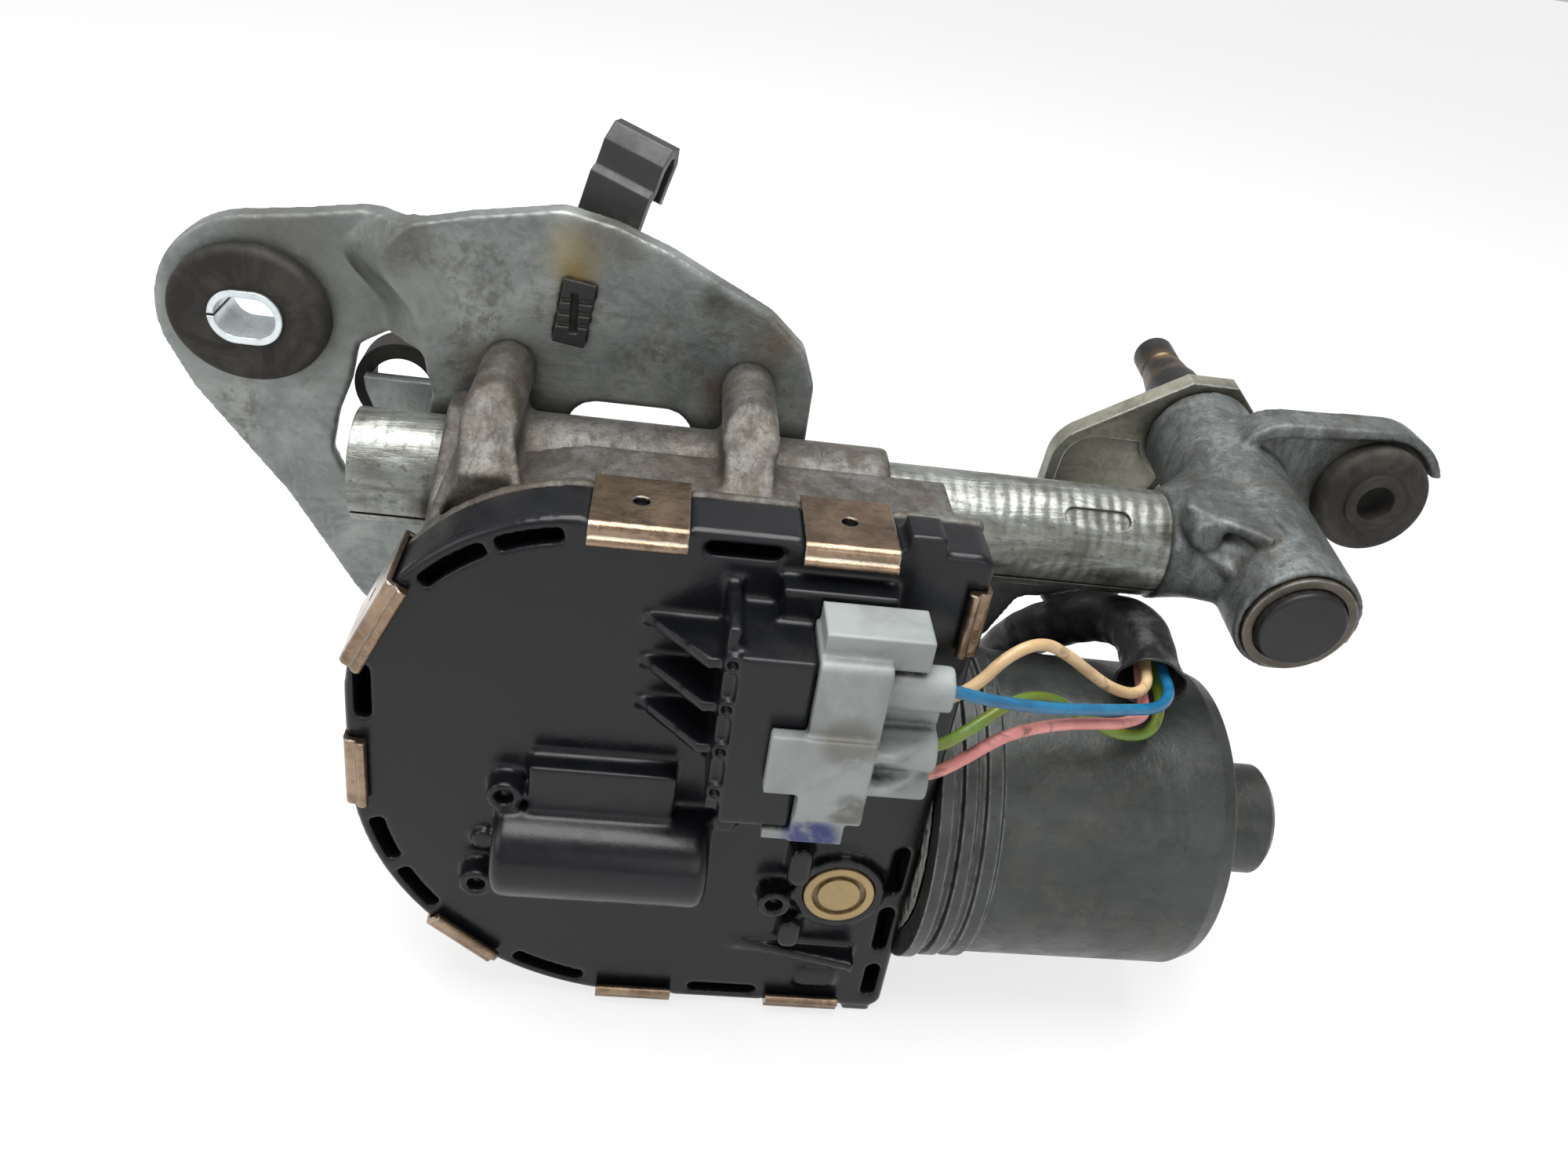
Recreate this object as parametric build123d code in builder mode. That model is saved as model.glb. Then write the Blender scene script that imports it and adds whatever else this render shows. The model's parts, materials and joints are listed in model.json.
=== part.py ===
from build123d import *
import os
from math import cos, sin, tan, radians, degrees, acos, pi

# Windshield wiper drive: reversing motor, frame tube, bracket sheet, link rod and wiper spindle.
# Millimetres. X runs along the frame tube to the right, Y away from the electronics cover, Z up.
# The origin is the centre of the left mounting bush, in the middle plane of its sheet.

os.makedirs("parts", exist_ok=True)

# ---------------------------------------------------------------- driving dimensions
sheet = 2.4                 # bracket sheet thickness
lobe_front = -sheet / 2     # front face of the stepped-back lobe that carries the left bush
plate_front = -7.2          # front face of the main bracket sheet
plate_back = plate_front + sheet

tube_r, tube_wall = 11.0, 1.5
tube_y, tube_z = -18.4, -21.8
tube_left, tube_right = 23.4, 184.0

cover_front, cover_back = -62.0, -50.0
cover_left, cover_right = 29.8, 139.0
cover_top, cover_bottom = -4.3, -118.2
upper_r, lower_r = 41.7, 57.0
wall = 2.2

gear_x, gear_z = 71.0, -45.9          # output shaft axis
motor_y, motor_z = -38.0, -77.5       # motor axis
can_r, can_left, can_right = 32.2, 139.6, 201.0
boss_r, boss_end = 11.9, 218.5

spindle_x, spindle_rise = 205.0, 5.9  # wiper spindle axis leans up towards its threaded end
spindle_y0, spindle_z0 = -46.0, -20.8
barrel_r, barrel_length = 12.25, 67.2
lever_t = 4.5

arm_length, arm_angle = 40.0, 237.0   # crank and spindle lever, equal and parallel
ball_r, socket_r = 6.5, 10.5
ball_stand = 9.0                      # ball centre from the lever's near face

right_x, right_z = 235.8, -12.8       # right mounting bush
bore_r = 4.1

wire_r, sleeve_r, sleeve_wall = 1.1, 5.3, 0.7

# ---------------------------------------------------------------- shared planes and helpers
spindle_axis = Plane(
    origin=(spindle_x, spindle_y0, spindle_z0), x_dir=(1, 0, 0),
    z_dir=(0, cos(radians(spindle_rise)), sin(radians(spindle_rise))))


def facing(y):
    """Sketch plane that looks at the viewer's side; extruding goes towards -Y."""
    return Plane.XZ.offset(-y)


def along_x(x, y, z):
    """Sketch plane across the motor or tube axis; extruding goes towards +X."""
    return Plane(origin=(x, y, z), x_dir=(0, 1, 0), z_dir=(1, 0, 0))


def box_between(x0, x1, y0, y1, z0, z1, mode=Mode.ADD):
    """Block given by its limits along the three axes."""
    with Locations(((x0 + x1) / 2, (y0 + y1) / 2, (z0 + z1) / 2)):
        Box(x1 - x0, y1 - y0, z1 - z0, mode=mode)


def rod_y(x, z, r, y0, y1, mode=Mode.ADD):
    """Round bar along Y from y0 to y1."""
    with BuildSketch(facing(y1)) as section:
        with Locations((x, z)):
            Circle(r)
    extrude(section.sketch, amount=y1 - y0, mode=mode)


def rod_x(y, z, r, x0, x1, mode=Mode.ADD):
    """Round bar along X from x0 to x1."""
    with BuildSketch(along_x(x0, y, z)) as section:
        Circle(r)
    extrude(section.sketch, amount=x1 - x0, mode=mode)


def ring_y(x, z, r_out, r_in, y0, y1):
    """Plain ring along Y."""
    with BuildPart() as ring:
        rod_y(x, z, r_out, y0, y1)
        rod_y(x, z, r_in, y0, y1, Mode.SUBTRACT)
    return ring


def ring_x(y, z, r_out, r_in, x0, x1):
    """Plain ring along X."""
    with BuildPart() as ring:
        rod_x(y, z, r_out, x0, x1)
        rod_x(y, z, r_in, x0, x1, Mode.SUBTRACT)
    return ring


def on_spindle(s):
    """Sketch plane across the spindle, s along its axis from the barrel's near end."""
    return spindle_axis.offset(s)


def rod_s(r, s0, s1, mode=Mode.ADD):
    """Round bar on the spindle axis."""
    with BuildSketch(on_spindle(s0)) as section:
        Circle(r)
    extrude(section.sketch, amount=s1 - s0, mode=mode)


def ring_s(r_out, r_in, s0, s1):
    """Plain ring on the spindle axis."""
    with BuildPart() as ring:
        rod_s(r_out, s0, s1)
        rod_s(r_in, s0, s1, Mode.SUBTRACT)
    return ring


def save(part, label):
    part.label = label
    export_step(part, f"parts/{label}.step")


# ---------------------------------------------------------------- bracket sheet
lobe_start, lobe_middle, lobe_end = (-17.4, -8.3), (-15.3, 9.4), (0, 18.4)
sheet_points = [
    lobe_end, (12.5, 20.3), (24.0, 22.0), (31.5, 21.8), (42.5, 25.2), (59.3, 28.6),
    (69.5, 26.6), (80.0, 22.8), (100.3, 13.0), (107.6, 6.6), (110.4, -0.6), (110.6, -38.0),
    (176.5, -38.0), (178.0, -41.5),
    (171.5, -43.6), (163.5, -45.0), (158.0, -56.5), (147.0, -59.6), (138.5, -61.6), (130.0, -72.0),
    (112.0, -101.0), (94.0, -105.0), (60.0, -100.0), (36.0, -86.0), (17.2, -62.5),
    (4.2, -40.1), (-12.7, -17.8), lobe_start]


def bent_strip(thickness):
    """The sheet's section: main plane, sloping joggle, and the lobe set 6 mm further back."""
    shift = thickness / 3
    with BuildPart() as strip:
        with BuildSketch(Plane.XY.offset(-110)):
            with BuildLine():
                Polyline(
                    (185, plate_front), (34, plate_front), (26, lobe_front), (-25, lobe_front),
                    (-25, lobe_front + thickness), (26 + shift, lobe_front + thickness),
                    (34 + shift, plate_front + thickness), (185, plate_front + thickness),
                    close=True)
            make_face()
        extrude(amount=145)
        fillet(strip.edges().filter_by(Axis.Z).group_by(Axis.X)[1:-1], radius=2.6)
    return strip.part


def sheet_outline(inset=0.0):
    """Rounded outline of the bracket, drawn in the X-Z plane."""
    with BuildSketch(Plane.XZ) as outline:
        with BuildLine():
            Polyline(*sheet_points)
            ThreePointArc(lobe_start, lobe_middle, lobe_end)
        make_face()
        by_place = outline.vertices().sort_by(Axis.X)
        fillet(by_place[1:-4], radius=4.5)
        fillet(outline.vertices().sort_by(Axis.X)[-4:], radius=1.6)
        if inset:
            offset(amount=-inset, mode=Mode.REPLACE)
    return outline.sketch


with BuildPart() as sheet_rim:
    with BuildSketch(Plane.XZ.offset(-12)):
        add(sheet_outline())
        add(sheet_outline(sheet), mode=Mode.SUBTRACT)
    extrude(amount=24)
    add(bent_strip(5.6), mode=Mode.INTERSECT)
    box_between(-30, 190, -20, 20, -120, -33, Mode.SUBTRACT)

with BuildPart() as bracket_plate:
    with BuildSketch(Plane.XZ.offset(-12)):
        add(sheet_outline())
    extrude(amount=24)
    add(bent_strip(sheet), mode=Mode.INTERSECT)
    add(sheet_rim.part)
    with BuildSketch(Plane.XZ.offset(-20)):
        # oval seat of the left bush
        with Locations((0, 0)):
            Ellipse(11.0, 9.6)
        # opening beside the open tube end
        with BuildLine():
            Polyline(
                (20.0, -4.8), (25.8, -1.4), (33.4, -3.0), (35.2, -11.0), (33.0, -22.0),
                (26.0, -36.0), (16.5, -34.0), (14.0, -28.5), (15.6, -20.0), (18.4, -12.5),
                close=True)
        make_face()
        # slot above the tube, hole for the clip foot, spare fixing hole, shaft clearance
        with Locations((74.5, -14.5)):
            SlotOverall(25, 11)
        with Locations((62.2, 9.4)):
            Rectangle(6.4, 13.0, rotation=-8)
        with Locations((149.6, -49.6)):
            Circle(4.9)
        with Locations((gear_x, gear_z)):
            Circle(8.5)
        with Locations((50.3, -2.7), (97.2, -1.6), (100.0, -90.0)):
            Circle(3.2)
    extrude(amount=40, mode=Mode.SUBTRACT)

# ---------------------------------------------------------------- frame tube
with BuildPart() as frame_tube:
    rod_x(tube_y, tube_z, tube_r, tube_left, tube_right)
    rod_x(tube_y, tube_z, tube_r - tube_wall, tube_left - 1, tube_right + 1, Mode.SUBTRACT)
    # rolled seam along the front, with its shallow groove
    box_between(tube_left, tube_right, tube_y - 10.6, tube_y - 8.4, tube_z - 6.1, tube_z - 5.4,
                Mode.SUBTRACT)
    # shallow swaged dimple that keys the tube to the bearing housing
    dimple = Plane(origin=(168.5, tube_y - 7.2, tube_z + 8.3), x_dir=(1, 0, 0),
                   z_dir=(0, -0.655, 0.755))
    with BuildSketch(dimple.offset(-0.8)):
        SlotOverall(13.6, 4.0)
    extrude(amount=4, mode=Mode.SUBTRACT)

# ---------------------------------------------------------------- electronics cover outline
centre_1 = (cover_left + upper_r, cover_top - upper_r)
centre_2 = (cover_left + lower_r, cover_bottom + lower_r)


def cover_outline(inset=0.0):
    """D-shaped outline with two large arcs on the left, inside the active sketch."""
    r1, r2 = upper_r - inset, lower_r - inset
    left, right = cover_left + inset, cover_right - inset
    top, bottom = cover_top - inset, cover_bottom + inset
    with BuildLine() as ring:
        Polyline((centre_1[0], top), (right, top), (right, bottom), (centre_2[0], bottom))
        CenterArc(centre_2, r2, 180, 90)
        Line((left, centre_2[1]), (left, centre_1[1]))
        CenterArc(centre_1, r1, 90, 90)
    make_face(ring.edges())


def arc_slot(centre, radius, start, size, half=1.4):
    """Curved slot along the rim, inside the active sketch."""
    with BuildLine() as slot_edge:
        far = CenterArc(centre, radius + half, start, size)
        near = CenterArc(centre, radius - half, start, size)
        Line(far @ 0, near @ 0)
        Line(far @ 1, near @ 1)
    make_face(slot_edge.edges())


def on_arc(centre, radius, angle):
    return (centre[0] + radius * cos(radians(angle)), centre[1] + radius * sin(radians(angle)))


# spring clips around the rim: name, place on the outline, outward direction, width
upper_left = on_arc(centre_1, upper_r, 154)
lower_left = on_arc(centre_2, lower_r, 229.5)
clips = [
    ("top_left", (78.5, cover_top), 90, 16.5),
    ("top_right", (114.0, cover_top), 90, 16.0),
    ("upper_left", upper_left, 154, 19.0),
    ("left", (cover_left, -61.0), 180, 15.0),
    ("lower_left", lower_left, 229.5, 15.5),
    ("bottom_left", (86.0, cover_bottom), 270, 15.5),
    ("bottom_right", (121.5, cover_bottom), 270, 15.5),
    ("right_side", (cover_right, -17.0), 0, 13.0)]
notch = 0.8
clip_t = 0.9


def clip_plane(place, angle):
    """Plane through a clip: local x points out of the rim, local y along +Y."""
    a = radians(angle)
    return Plane(origin=(place[0], 0, place[1]), x_dir=(cos(a), 0, sin(a)),
                 z_dir=(-sin(a), 0, cos(a)))


def cut_clip_seats(y0, y1, depth=notch):
    """Flats in the rim under each clip."""
    for _, place, angle, width in clips:
        with BuildSketch(clip_plane(place, angle).offset(-width / 2 - 0.5)) as seat:
            with Locations(((6 - depth) / 2, (y0 + y1) / 2)):
                Rectangle(6 + depth, y1 - y0)
        extrude(seat.sketch, amount=width + 1, mode=Mode.SUBTRACT)


def spring_clip(place, angle, width):
    """U-shaped spring clip with a rolled front hook and a small round hole."""
    outer, inner = -notch + 0.1 + clip_t, -notch + 0.1
    with BuildPart() as clip:
        with BuildSketch(clip_plane(place, angle).offset(-width / 2)) as section:
            with BuildLine():
                Polyline(
                    (outer, -46.1), (outer, -63.4), (outer - 2.6, -63.7), (outer - 2.6, -62.5),
                    (inner, -62.2), (inner, -47.0), (inner - 2.0, -47.0), (inner - 2.0, -46.1),
                    close=True)
            make_face()
            fillet(section.vertices().sort_by_distance((outer, -63.4, 0))[0], radius=1.3)
            fillet(section.vertices().sort_by_distance((inner, -62.2, 0))[0], radius=0.5)
            # rolled front edge
            with Locations((outer - 3.2, -63.5)):
                Circle(1.0)
            fillet(section.vertices().group_by(Axis.Y)[-1], radius=0.3)
        extrude(amount=width)
        hole_plane = clip_plane(place, angle)
        with BuildSketch(Plane(origin=hole_plane.from_local_coords((0, -54.5, 0)),
                               x_dir=hole_plane.z_dir, z_dir=hole_plane.x_dir)):
            Circle(1.5)
        extrude(amount=3, both=True, mode=Mode.SUBTRACT)
    return clip


# ---------------------------------------------------------------- electronics cover
cap_y, cap_z, cap_r = -65.6, -74.0, 9.5      # rounded housing of the capacitor
cap_x0, cap_x1 = 57.0, 97.0
header_x0, header_x1 = 96.5, 109.0
disc_x, disc_z, disc_r = 124.3, -82.8, 7.0

with BuildPart() as electronics_cover:
    with BuildSketch(facing(cover_back)) as outer:
        cover_outline()
        fillet(outer.vertices().group_by(Axis.X)[-1], radius=3)
    extrude(amount=cover_back - cover_front)
    chamfer(electronics_cover.faces().sort_by(Axis.Y)[0].edges(), length=0.8)
    with BuildSketch(facing(cover_back)):
        cover_outline(wall)
    extrude(amount=cover_back - cover_front - wall, mode=Mode.SUBTRACT)
    # inner wall that closes the electronics space behind the rim slots
    with BuildSketch(facing(cover_back)):
        cover_outline(6.6)
        with BuildSketch(mode=Mode.PRIVATE) as inside:
            cover_outline(8.2)
        add(inside.sketch, mode=Mode.SUBTRACT)
    extrude(amount=cover_back - cover_front - wall / 2)
    # rim slots
    with BuildSketch(facing(cover_front + 6)):
        for centre, radius, start, size in (
                (centre_1, upper_r, 97.5, 17), (centre_1, upper_r, 117.5, 19.5),
                (centre_2, lower_r, 193, 11.5), (centre_2, lower_r, 207.5, 12),
                (centre_2, lower_r, 241.5, 16)):
            arc_slot(centre, radius - 3.3, start, size)
        with Locations((96.2, cover_top - 3.3)):
            SlotOverall(13.0, 2.8)
        with Locations((104.5, cover_bottom + 3.3)):
            SlotOverall(14.5, 2.8)
        with Locations((cover_left + 3.3, -43.6)):
            SlotOverall(12.0, 2.8, rotation=90)
        for level, length in ((-77.7, 12.6), (-94.3, 12.6), (-109.8, 10.0)):
            with Locations((cover_right - 3.3, level)):
                SlotOverall(length, 2.8, rotation=90)
    extrude(amount=20, mode=Mode.SUBTRACT)
    cut_clip_seats(-66, -44)
    # capacitor housing: half-round cover on a flat foot, with a step above it
    box_between(cap_x0, cap_x1, cap_y, cover_front + 1.5, cap_z - cap_r, cap_z + cap_r)
    with BuildPart(mode=Mode.PRIVATE) as cap_dome:
        rod_x(cap_y, cap_z, cap_r, cap_x0, cap_x1)
        fillet(cap_dome.edges().filter_by(GeomType.CIRCLE), radius=2.4)
    add(cap_dome.part)
    box_between(63.0, 89.4, -66.9, cover_front + 1.5, -66.5, -53.8)
    rod_x(cap_y, cap_z, cap_r - 1.6, cap_x0 + 2, cap_x1 - 2, Mode.SUBTRACT)
    box_between(cap_x0 + 2, cap_x1 - 2, cap_y, cover_front + 4, cap_z - cap_r + 1.6,
                cap_z + cap_r - 1.6, Mode.SUBTRACT)
    # connector header standing out of the face, open to the right
    box_between(header_x0, header_x1, -79.5, cover_front + 1.5, -52.0, -16.8)
    box_between(header_x0 + 2, header_x1 + 1, -77.7, cover_front - 1.4, -50.2, -18.6,
                Mode.SUBTRACT)
    box_between(94.2, header_x0, -77.0, cover_front + 1.5, -51.0, -13.0)
    # eyelets along the header's left side
    for level in (-19.0, -28.0, -37.0, -46.0):
        rod_y(95.4, level, 1.7, -78.6, -76.0)
        rod_y(95.4, level, 0.9, -79.0, -77.2, Mode.SUBTRACT)
    # raised duct between the upper clip and the plug
    box_between(103.0, 122.5, -67.5, cover_front + 1.5, -18.0, -10.8)
    # three cooling fins, triangular towards the left
    for level in (-22.0, -31.0, -40.0):
        with BuildSketch(Plane.XY.offset(level - 1.0)):
            with BuildLine():
                Polyline((79.2, cover_front + 1.2), (94.4, cover_front + 1.2), (94.4, -74.5),
                         (91.5, -74.5), close=True)
            make_face()
        extrude(amount=2.0)
    # locating bosses with pins
    for x, z in ((58.7, -61.5), (53.9, -84.0), (111.4, -84.4)):
        rod_y(x, z, 3.3, -67.0, cover_front + 1.5)
        rod_y(x, z, 1.7, -67.5, -64.0, Mode.SUBTRACT)
    for x, z in ((54.8, -75.4), (99.6, -66.5)):
        rod_y(x, z, 2.4, -64.0, cover_front + 1.5)
    # two rounded blocks beside the disc, and a flat oval boss
    for x, z, width, height, tall in ((115.2, -74.6, 4.4, 9.4, 6.0), (115.6, -93.0, 4.4, 7.0, 6.0),
                                      (123.6, -109.0, 8.6, 5.2, 2.4)):
        with BuildSketch(facing(cover_front + 1.5)):
            with Locations((x, z)):
                RectangleRounded(width, height, 1.9)
        extrude(amount=tall)
    # round pocket of the breather disc
    rod_y(disc_x, disc_z, disc_r + 2.2, -64.2, cover_front + 1.5)
    rod_y(disc_x, disc_z, disc_r + 0.05, -65.0, -61.9, Mode.SUBTRACT)
    rod_y(disc_x, disc_z, disc_r - 1.6, -63.0, -58.0, Mode.SUBTRACT)
    # long wedge rib near the lower edge, and the lug at the upper right corner
    with BuildSketch(Plane.XY.offset(-101.4)):
        with BuildLine():
            Polyline((98.0, cover_front + 1.2), (130.0, cover_front + 1.2), (130.0, -67.5),
                     close=True)
        make_face()
    extrude(amount=2.2)
    box_between(123.4, 129.6, cover_front, -54.0, cover_top - 4, -1.4)
    box_between(131.0, 137.0, cover_front + 0.4, -54.0, cover_bottom - 1.6, cover_bottom + 4)

with BuildPart() as breather_disc:
    rod_y(disc_x, disc_z, disc_r, -64.4, -61.9)
    with BuildSketch(facing(-63.4)):
        with Locations((disc_x, disc_z)):
            Circle(5.4)
            Circle(4.2, mode=Mode.SUBTRACT)
    extrude(amount=2, mode=Mode.SUBTRACT)
    rod_y(disc_x, disc_z, disc_r - 1.7, -62, -60.4)

# ---------------------------------------------------------------- gear housing casting
boss_places = [(50.3, -2.7), (97.2, -1.6)]
low_boss = (100.0, -90.0)
housing_front = cover_back
flange_back = -47.2
cavity_r = 28.6
rib_wide = 2.2

with BuildPart() as gear_housing:
    with BuildSketch(facing(flange_back)):
        cover_outline()
    extrude(amount=flange_back - housing_front)
    cut_clip_seats(-66, -44)
    with BuildSketch(facing(-28.0)):
        cover_outline(3.4)
    extrude(amount=-28.0 - flange_back)
    # shoulder that rises over the tube between the two long screw bosses
    with BuildSketch(facing(-46.0)):
        with BuildLine():
            Polyline((33.0, -42.0), (36.5, -29.0), (46.0, -17.0), (60.0, -9.6), (122.5, -8.4),
                     (122.5, -46.0), close=True)
        make_face()
    with BuildSketch(facing(-11.0)):
        with BuildLine():
            Polyline((42.0, -36.0), (42.0, -22.0), (44.0, -14.0), (60.0, -13.6), (126.0, -13.6),
                     (126.0, -36.0), close=True)
        make_face()
    loft()
    rod_x(tube_y, tube_z, tube_r + 2.6, 43.0, 126.0)
    box_between(40, 130, -8.4, 0, -50, 0, Mode.SUBTRACT)
    for x, z in boss_places:
        rod_y(x, z, 5.3, -45.0, plate_front)
        box_between(x - 4.6, x + 4.6, -44.0, -11.5, -16.0, z)
    # the bosses run out into the shoulder along a slope
    with BuildSketch(along_x(40.0, 0, 0)):
        with BuildLine():
            Polyline((-47.1, -7.6), (-43.5, -7.6), (-27.5, 3.4), (-27.5, 9.0), (-47.1, 9.0),
                     close=True)
        make_face()
    extrude(amount=80.0, mode=Mode.SUBTRACT)
    # two ribs that spread from the top of the left boss down to the flange
    for side, foot in ((-1, (42.4, -45.4, -18.5)), (1, (57.0, -45.4, -11.0))):
        top = Vector(boss_places[0][0] + side * 1.8, -31.0, -1.6)
        leg = Vector(*foot) - top
        with BuildSketch(Plane(origin=top, x_dir=leg.cross(Vector(0, -0.57, 0.82)), z_dir=leg)):
            Rectangle(rib_wide, 5.6)
        extrude(amount=leg.length)
    rod_y(*low_boss, 6.0, -30.0, plate_front)
    rod_y(gear_x, gear_z, 13.0, -30.0, plate_front - 0.4)
    # end ribs of the shoulder
    with BuildSketch(along_x(40.4, 0, 0)):
        with BuildLine():
            Polyline((-44.0, -19.0), (-20.0, -7.0), (-12.0, -7.0), (-8.6, -12.0), (-8.6, -34.0),
                     (-30.0, -38.0), (-44.0, -32.0), close=True)
        make_face()
    extrude(amount=4.4)
    # motor mounting face
    with BuildSketch(along_x(118.0, motor_y, motor_z)):
        Circle(29.0)
    extrude(amount=can_left - 0.1 - 118.0)
    box_between(110, 139.2, -80, -49.9, -120, -40, Mode.SUBTRACT)
    # seat of the tube
    rod_x(tube_y, tube_z, tube_r, 20, 145, Mode.SUBTRACT)
    # worm wheel space, electronics space and worm tunnel
    rod_y(gear_x, gear_z, cavity_r, -51.0, -32.0, Mode.SUBTRACT)
    with BuildSketch(facing(-44.6)):
        cover_outline(8.4)
    extrude(amount=10, mode=Mode.SUBTRACT)
    rod_x(motor_y, motor_z, 6.4, 46.0, 150.0, Mode.SUBTRACT)
    # bores for the output shaft bush, the worm's bearings and the screws
    rod_y(gear_x, gear_z, 8.0, -40.0, 0, Mode.SUBTRACT)
    rod_x(motor_y, motor_z, 7.5, 130.5, 150.0, Mode.SUBTRACT)
    for x, z in boss_places:
        rod_y(x, z, 2.9, -25.0, 0, Mode.SUBTRACT)
    rod_y(*low_boss, 2.9, -25.0, 0, Mode.SUBTRACT)
    # pockets behind the flange for the clips' back hooks
    for _, place, angle, width in clips:
        with BuildSketch(clip_plane(place, angle).offset(-width / 2 - 0.6)):
            with Locations((-1.0, (flange_back - 45.4) / 2)):
                Rectangle(7.4, flange_back * -1 - 45.4)
        extrude(amount=width + 1.2, mode=Mode.SUBTRACT)

# ---------------------------------------------------------------- screws of the bracket
fasteners = {}
for name, (x, z) in zip(("upper_left", "upper_right", "lower"), boss_places + [low_boss]):
    with BuildPart() as screw:
        rod_y(x, z, 2.85, -22.0, plate_back)
        rod_y(x, z, 5.2, plate_back, plate_back + 3.6)
        fillet(screw.faces().sort_by(Axis.Y)[-1].edges(), radius=1.2)
        with BuildSketch(facing(plate_back + 3.6)):
            with Locations((x, z)):
                RegularPolygon(2.4, 6)
        extrude(amount=2.2, mode=Mode.SUBTRACT)
    fasteners[f"bracket_screw_{name}"] = screw

# ---------------------------------------------------------------- motor can and its insides
can_wall = 1.6

with BuildPart() as motor_can:
    with BuildSketch(Plane(origin=(0, motor_y, motor_z), x_dir=(1, 0, 0), z_dir=(0, -1, 0))):
        with BuildLine():
            Polyline(
                (can_left, 28.6), (can_left, 34.0), (can_left + 2.4, 34.0),
                (can_left + 3.0, can_r), (can_left + 4.2, can_r), (can_left + 4.8, 33.4),
                (can_left + 7.0, 33.4), (can_left + 7.6, can_r), (can_left + 8.8, can_r),
                (can_left + 9.4, 33.2), (can_left + 12.0, 33.2), (can_left + 12.8, can_r),
                (can_right - 4.4, can_r - 0.3),
                (can_right - 1.2, can_r - 1.6), (can_right, can_r - 4.4),
                (can_right, boss_r + 1.2), (can_right + 1.0, boss_r), (boss_end - 1.2, boss_r),
                (boss_end, boss_r - 1.4), (boss_end, 0), (boss_end - 1.4, 0),
                (boss_end - 1.4, 8.0), (can_right - 1.6, 8.0), (can_right - 1.6, 27.4),
                (can_right - 4.6, can_r - can_wall), (can_left + 2.0, can_r - can_wall),
                (can_left + 2.0, 28.6), close=True)
        make_face()
    revolve(axis=Axis((0, motor_y, motor_z), (1, 0, 0)))

magnets = []
for start in (20, 200):
    with BuildPart() as magnet:
        with BuildSketch(along_x(158.0, motor_y, motor_z)):
            Circle(30.4)
            Circle(23.0, mode=Mode.SUBTRACT)
            with PolarLocations(0, 1, start_angle=start + 70):
                with Locations((40, 0)):
                    Rectangle(80, 34, mode=Mode.INTERSECT)
        extrude(amount=36.0)
    magnets.append(magnet)

with BuildPart() as rotor_core:
    rod_x(motor_y, motor_z, 22.0, 162.0, 191.0)
    with BuildSketch(along_x(161.0, motor_y, motor_z)):
        with PolarLocations(20.2, 12):
            Rectangle(5.0, 2.2)
    extrude(amount=40, mode=Mode.SUBTRACT)
    rod_x(motor_y, motor_z, 4.0, 150.0, 200.0, Mode.SUBTRACT)

commutator = ring_x(motor_y, motor_z, 9.0, 4.0, 149.5, 161.5)

with BuildPart() as armature_shaft:
    rod_x(motor_y, motor_z, 4.0, 50.0, 213.0)
    chamfer(armature_shaft.edges().filter_by(GeomType.CIRCLE), length=0.6)
    # worm: stacked rounded threads drawn as rings
    with BuildSketch(Plane(origin=(0, motor_y, motor_z), x_dir=(1, 0, 0), z_dir=(0, -1, 0))):
        for turn in range(14):
            x = gear_x - 19.5 + 3.0 * turn
            with BuildLine():
                Polyline((x - 1.1, 3.6), (x - 0.4, 5.0), (x + 0.4, 5.0), (x + 1.1, 3.6),
                         close=True)
            make_face()
    revolve(axis=Axis((0, motor_y, motor_z), (1, 0, 0)))

front_bearing = ring_x(motor_y, motor_z, 7.5, 4.05, 130.9, 138.9)
rear_bearing = ring_x(motor_y, motor_z, 8.0, 4.05, 203.0, 212.0)

with BuildPart() as brush_card:
    rod_x(motor_y, motor_z, 28.6, 147.4, 149.0)
    rod_x(motor_y, motor_z, 10.0, 147.0, 150.0, Mode.SUBTRACT)
brushes = []
for side in (1, -1):
    with BuildPart() as brush:
        with Locations((153.0, motor_y, motor_z + side * 14.6)):
            Box(8.0, 6.0, 10.4)
    brushes.append(brush)

# ---------------------------------------------------------------- worm wheel and crank
wheel_teeth, wheel_tip, wheel_root = 60, 26.3, 24.6
wheel_front, wheel_back = -42.6, -33.4

with BuildPart() as worm_wheel:
    with BuildSketch(facing(wheel_back)):
        with Locations((gear_x, gear_z)):
            Circle(wheel_tip)
            with PolarLocations(wheel_tip, wheel_teeth):
                RegularPolygon(0.95, 3, mode=Mode.SUBTRACT)
    extrude(amount=wheel_back - wheel_front)
    rod_y(gear_x, gear_z, 21.0, wheel_front - 1, wheel_front + 2.4, Mode.SUBTRACT)
    rod_y(gear_x, gear_z, 9.5, wheel_front, wheel_back)
    rod_y(gear_x, gear_z, 6.0, -60, 0, Mode.SUBTRACT)

crank_y0, crank_y1 = 2.6, 7.6
with BuildPart() as output_shaft:
    rod_y(gear_x, gear_z, 6.0, wheel_front, crank_y1)
    chamfer(output_shaft.edges().filter_by(GeomType.CIRCLE), length=0.5)
    rod_y(gear_x, gear_z, 4.0, crank_y1, 11.4)
output_bush = ring_y(gear_x, gear_z, 8.0, 6.05, -30.8, plate_front)

arm_dx, arm_dz = arm_length * cos(radians(arm_angle)), arm_length * sin(radians(arm_angle))
lever_plane = on_spindle(barrel_length + 0.6)
lever_ball = lever_plane.from_local_coords((arm_dx, -arm_dz, -ball_stand))
ball_y = lever_ball.Y
crank_ball = Vector(gear_x + arm_dx, ball_y, gear_z + arm_dz)

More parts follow.
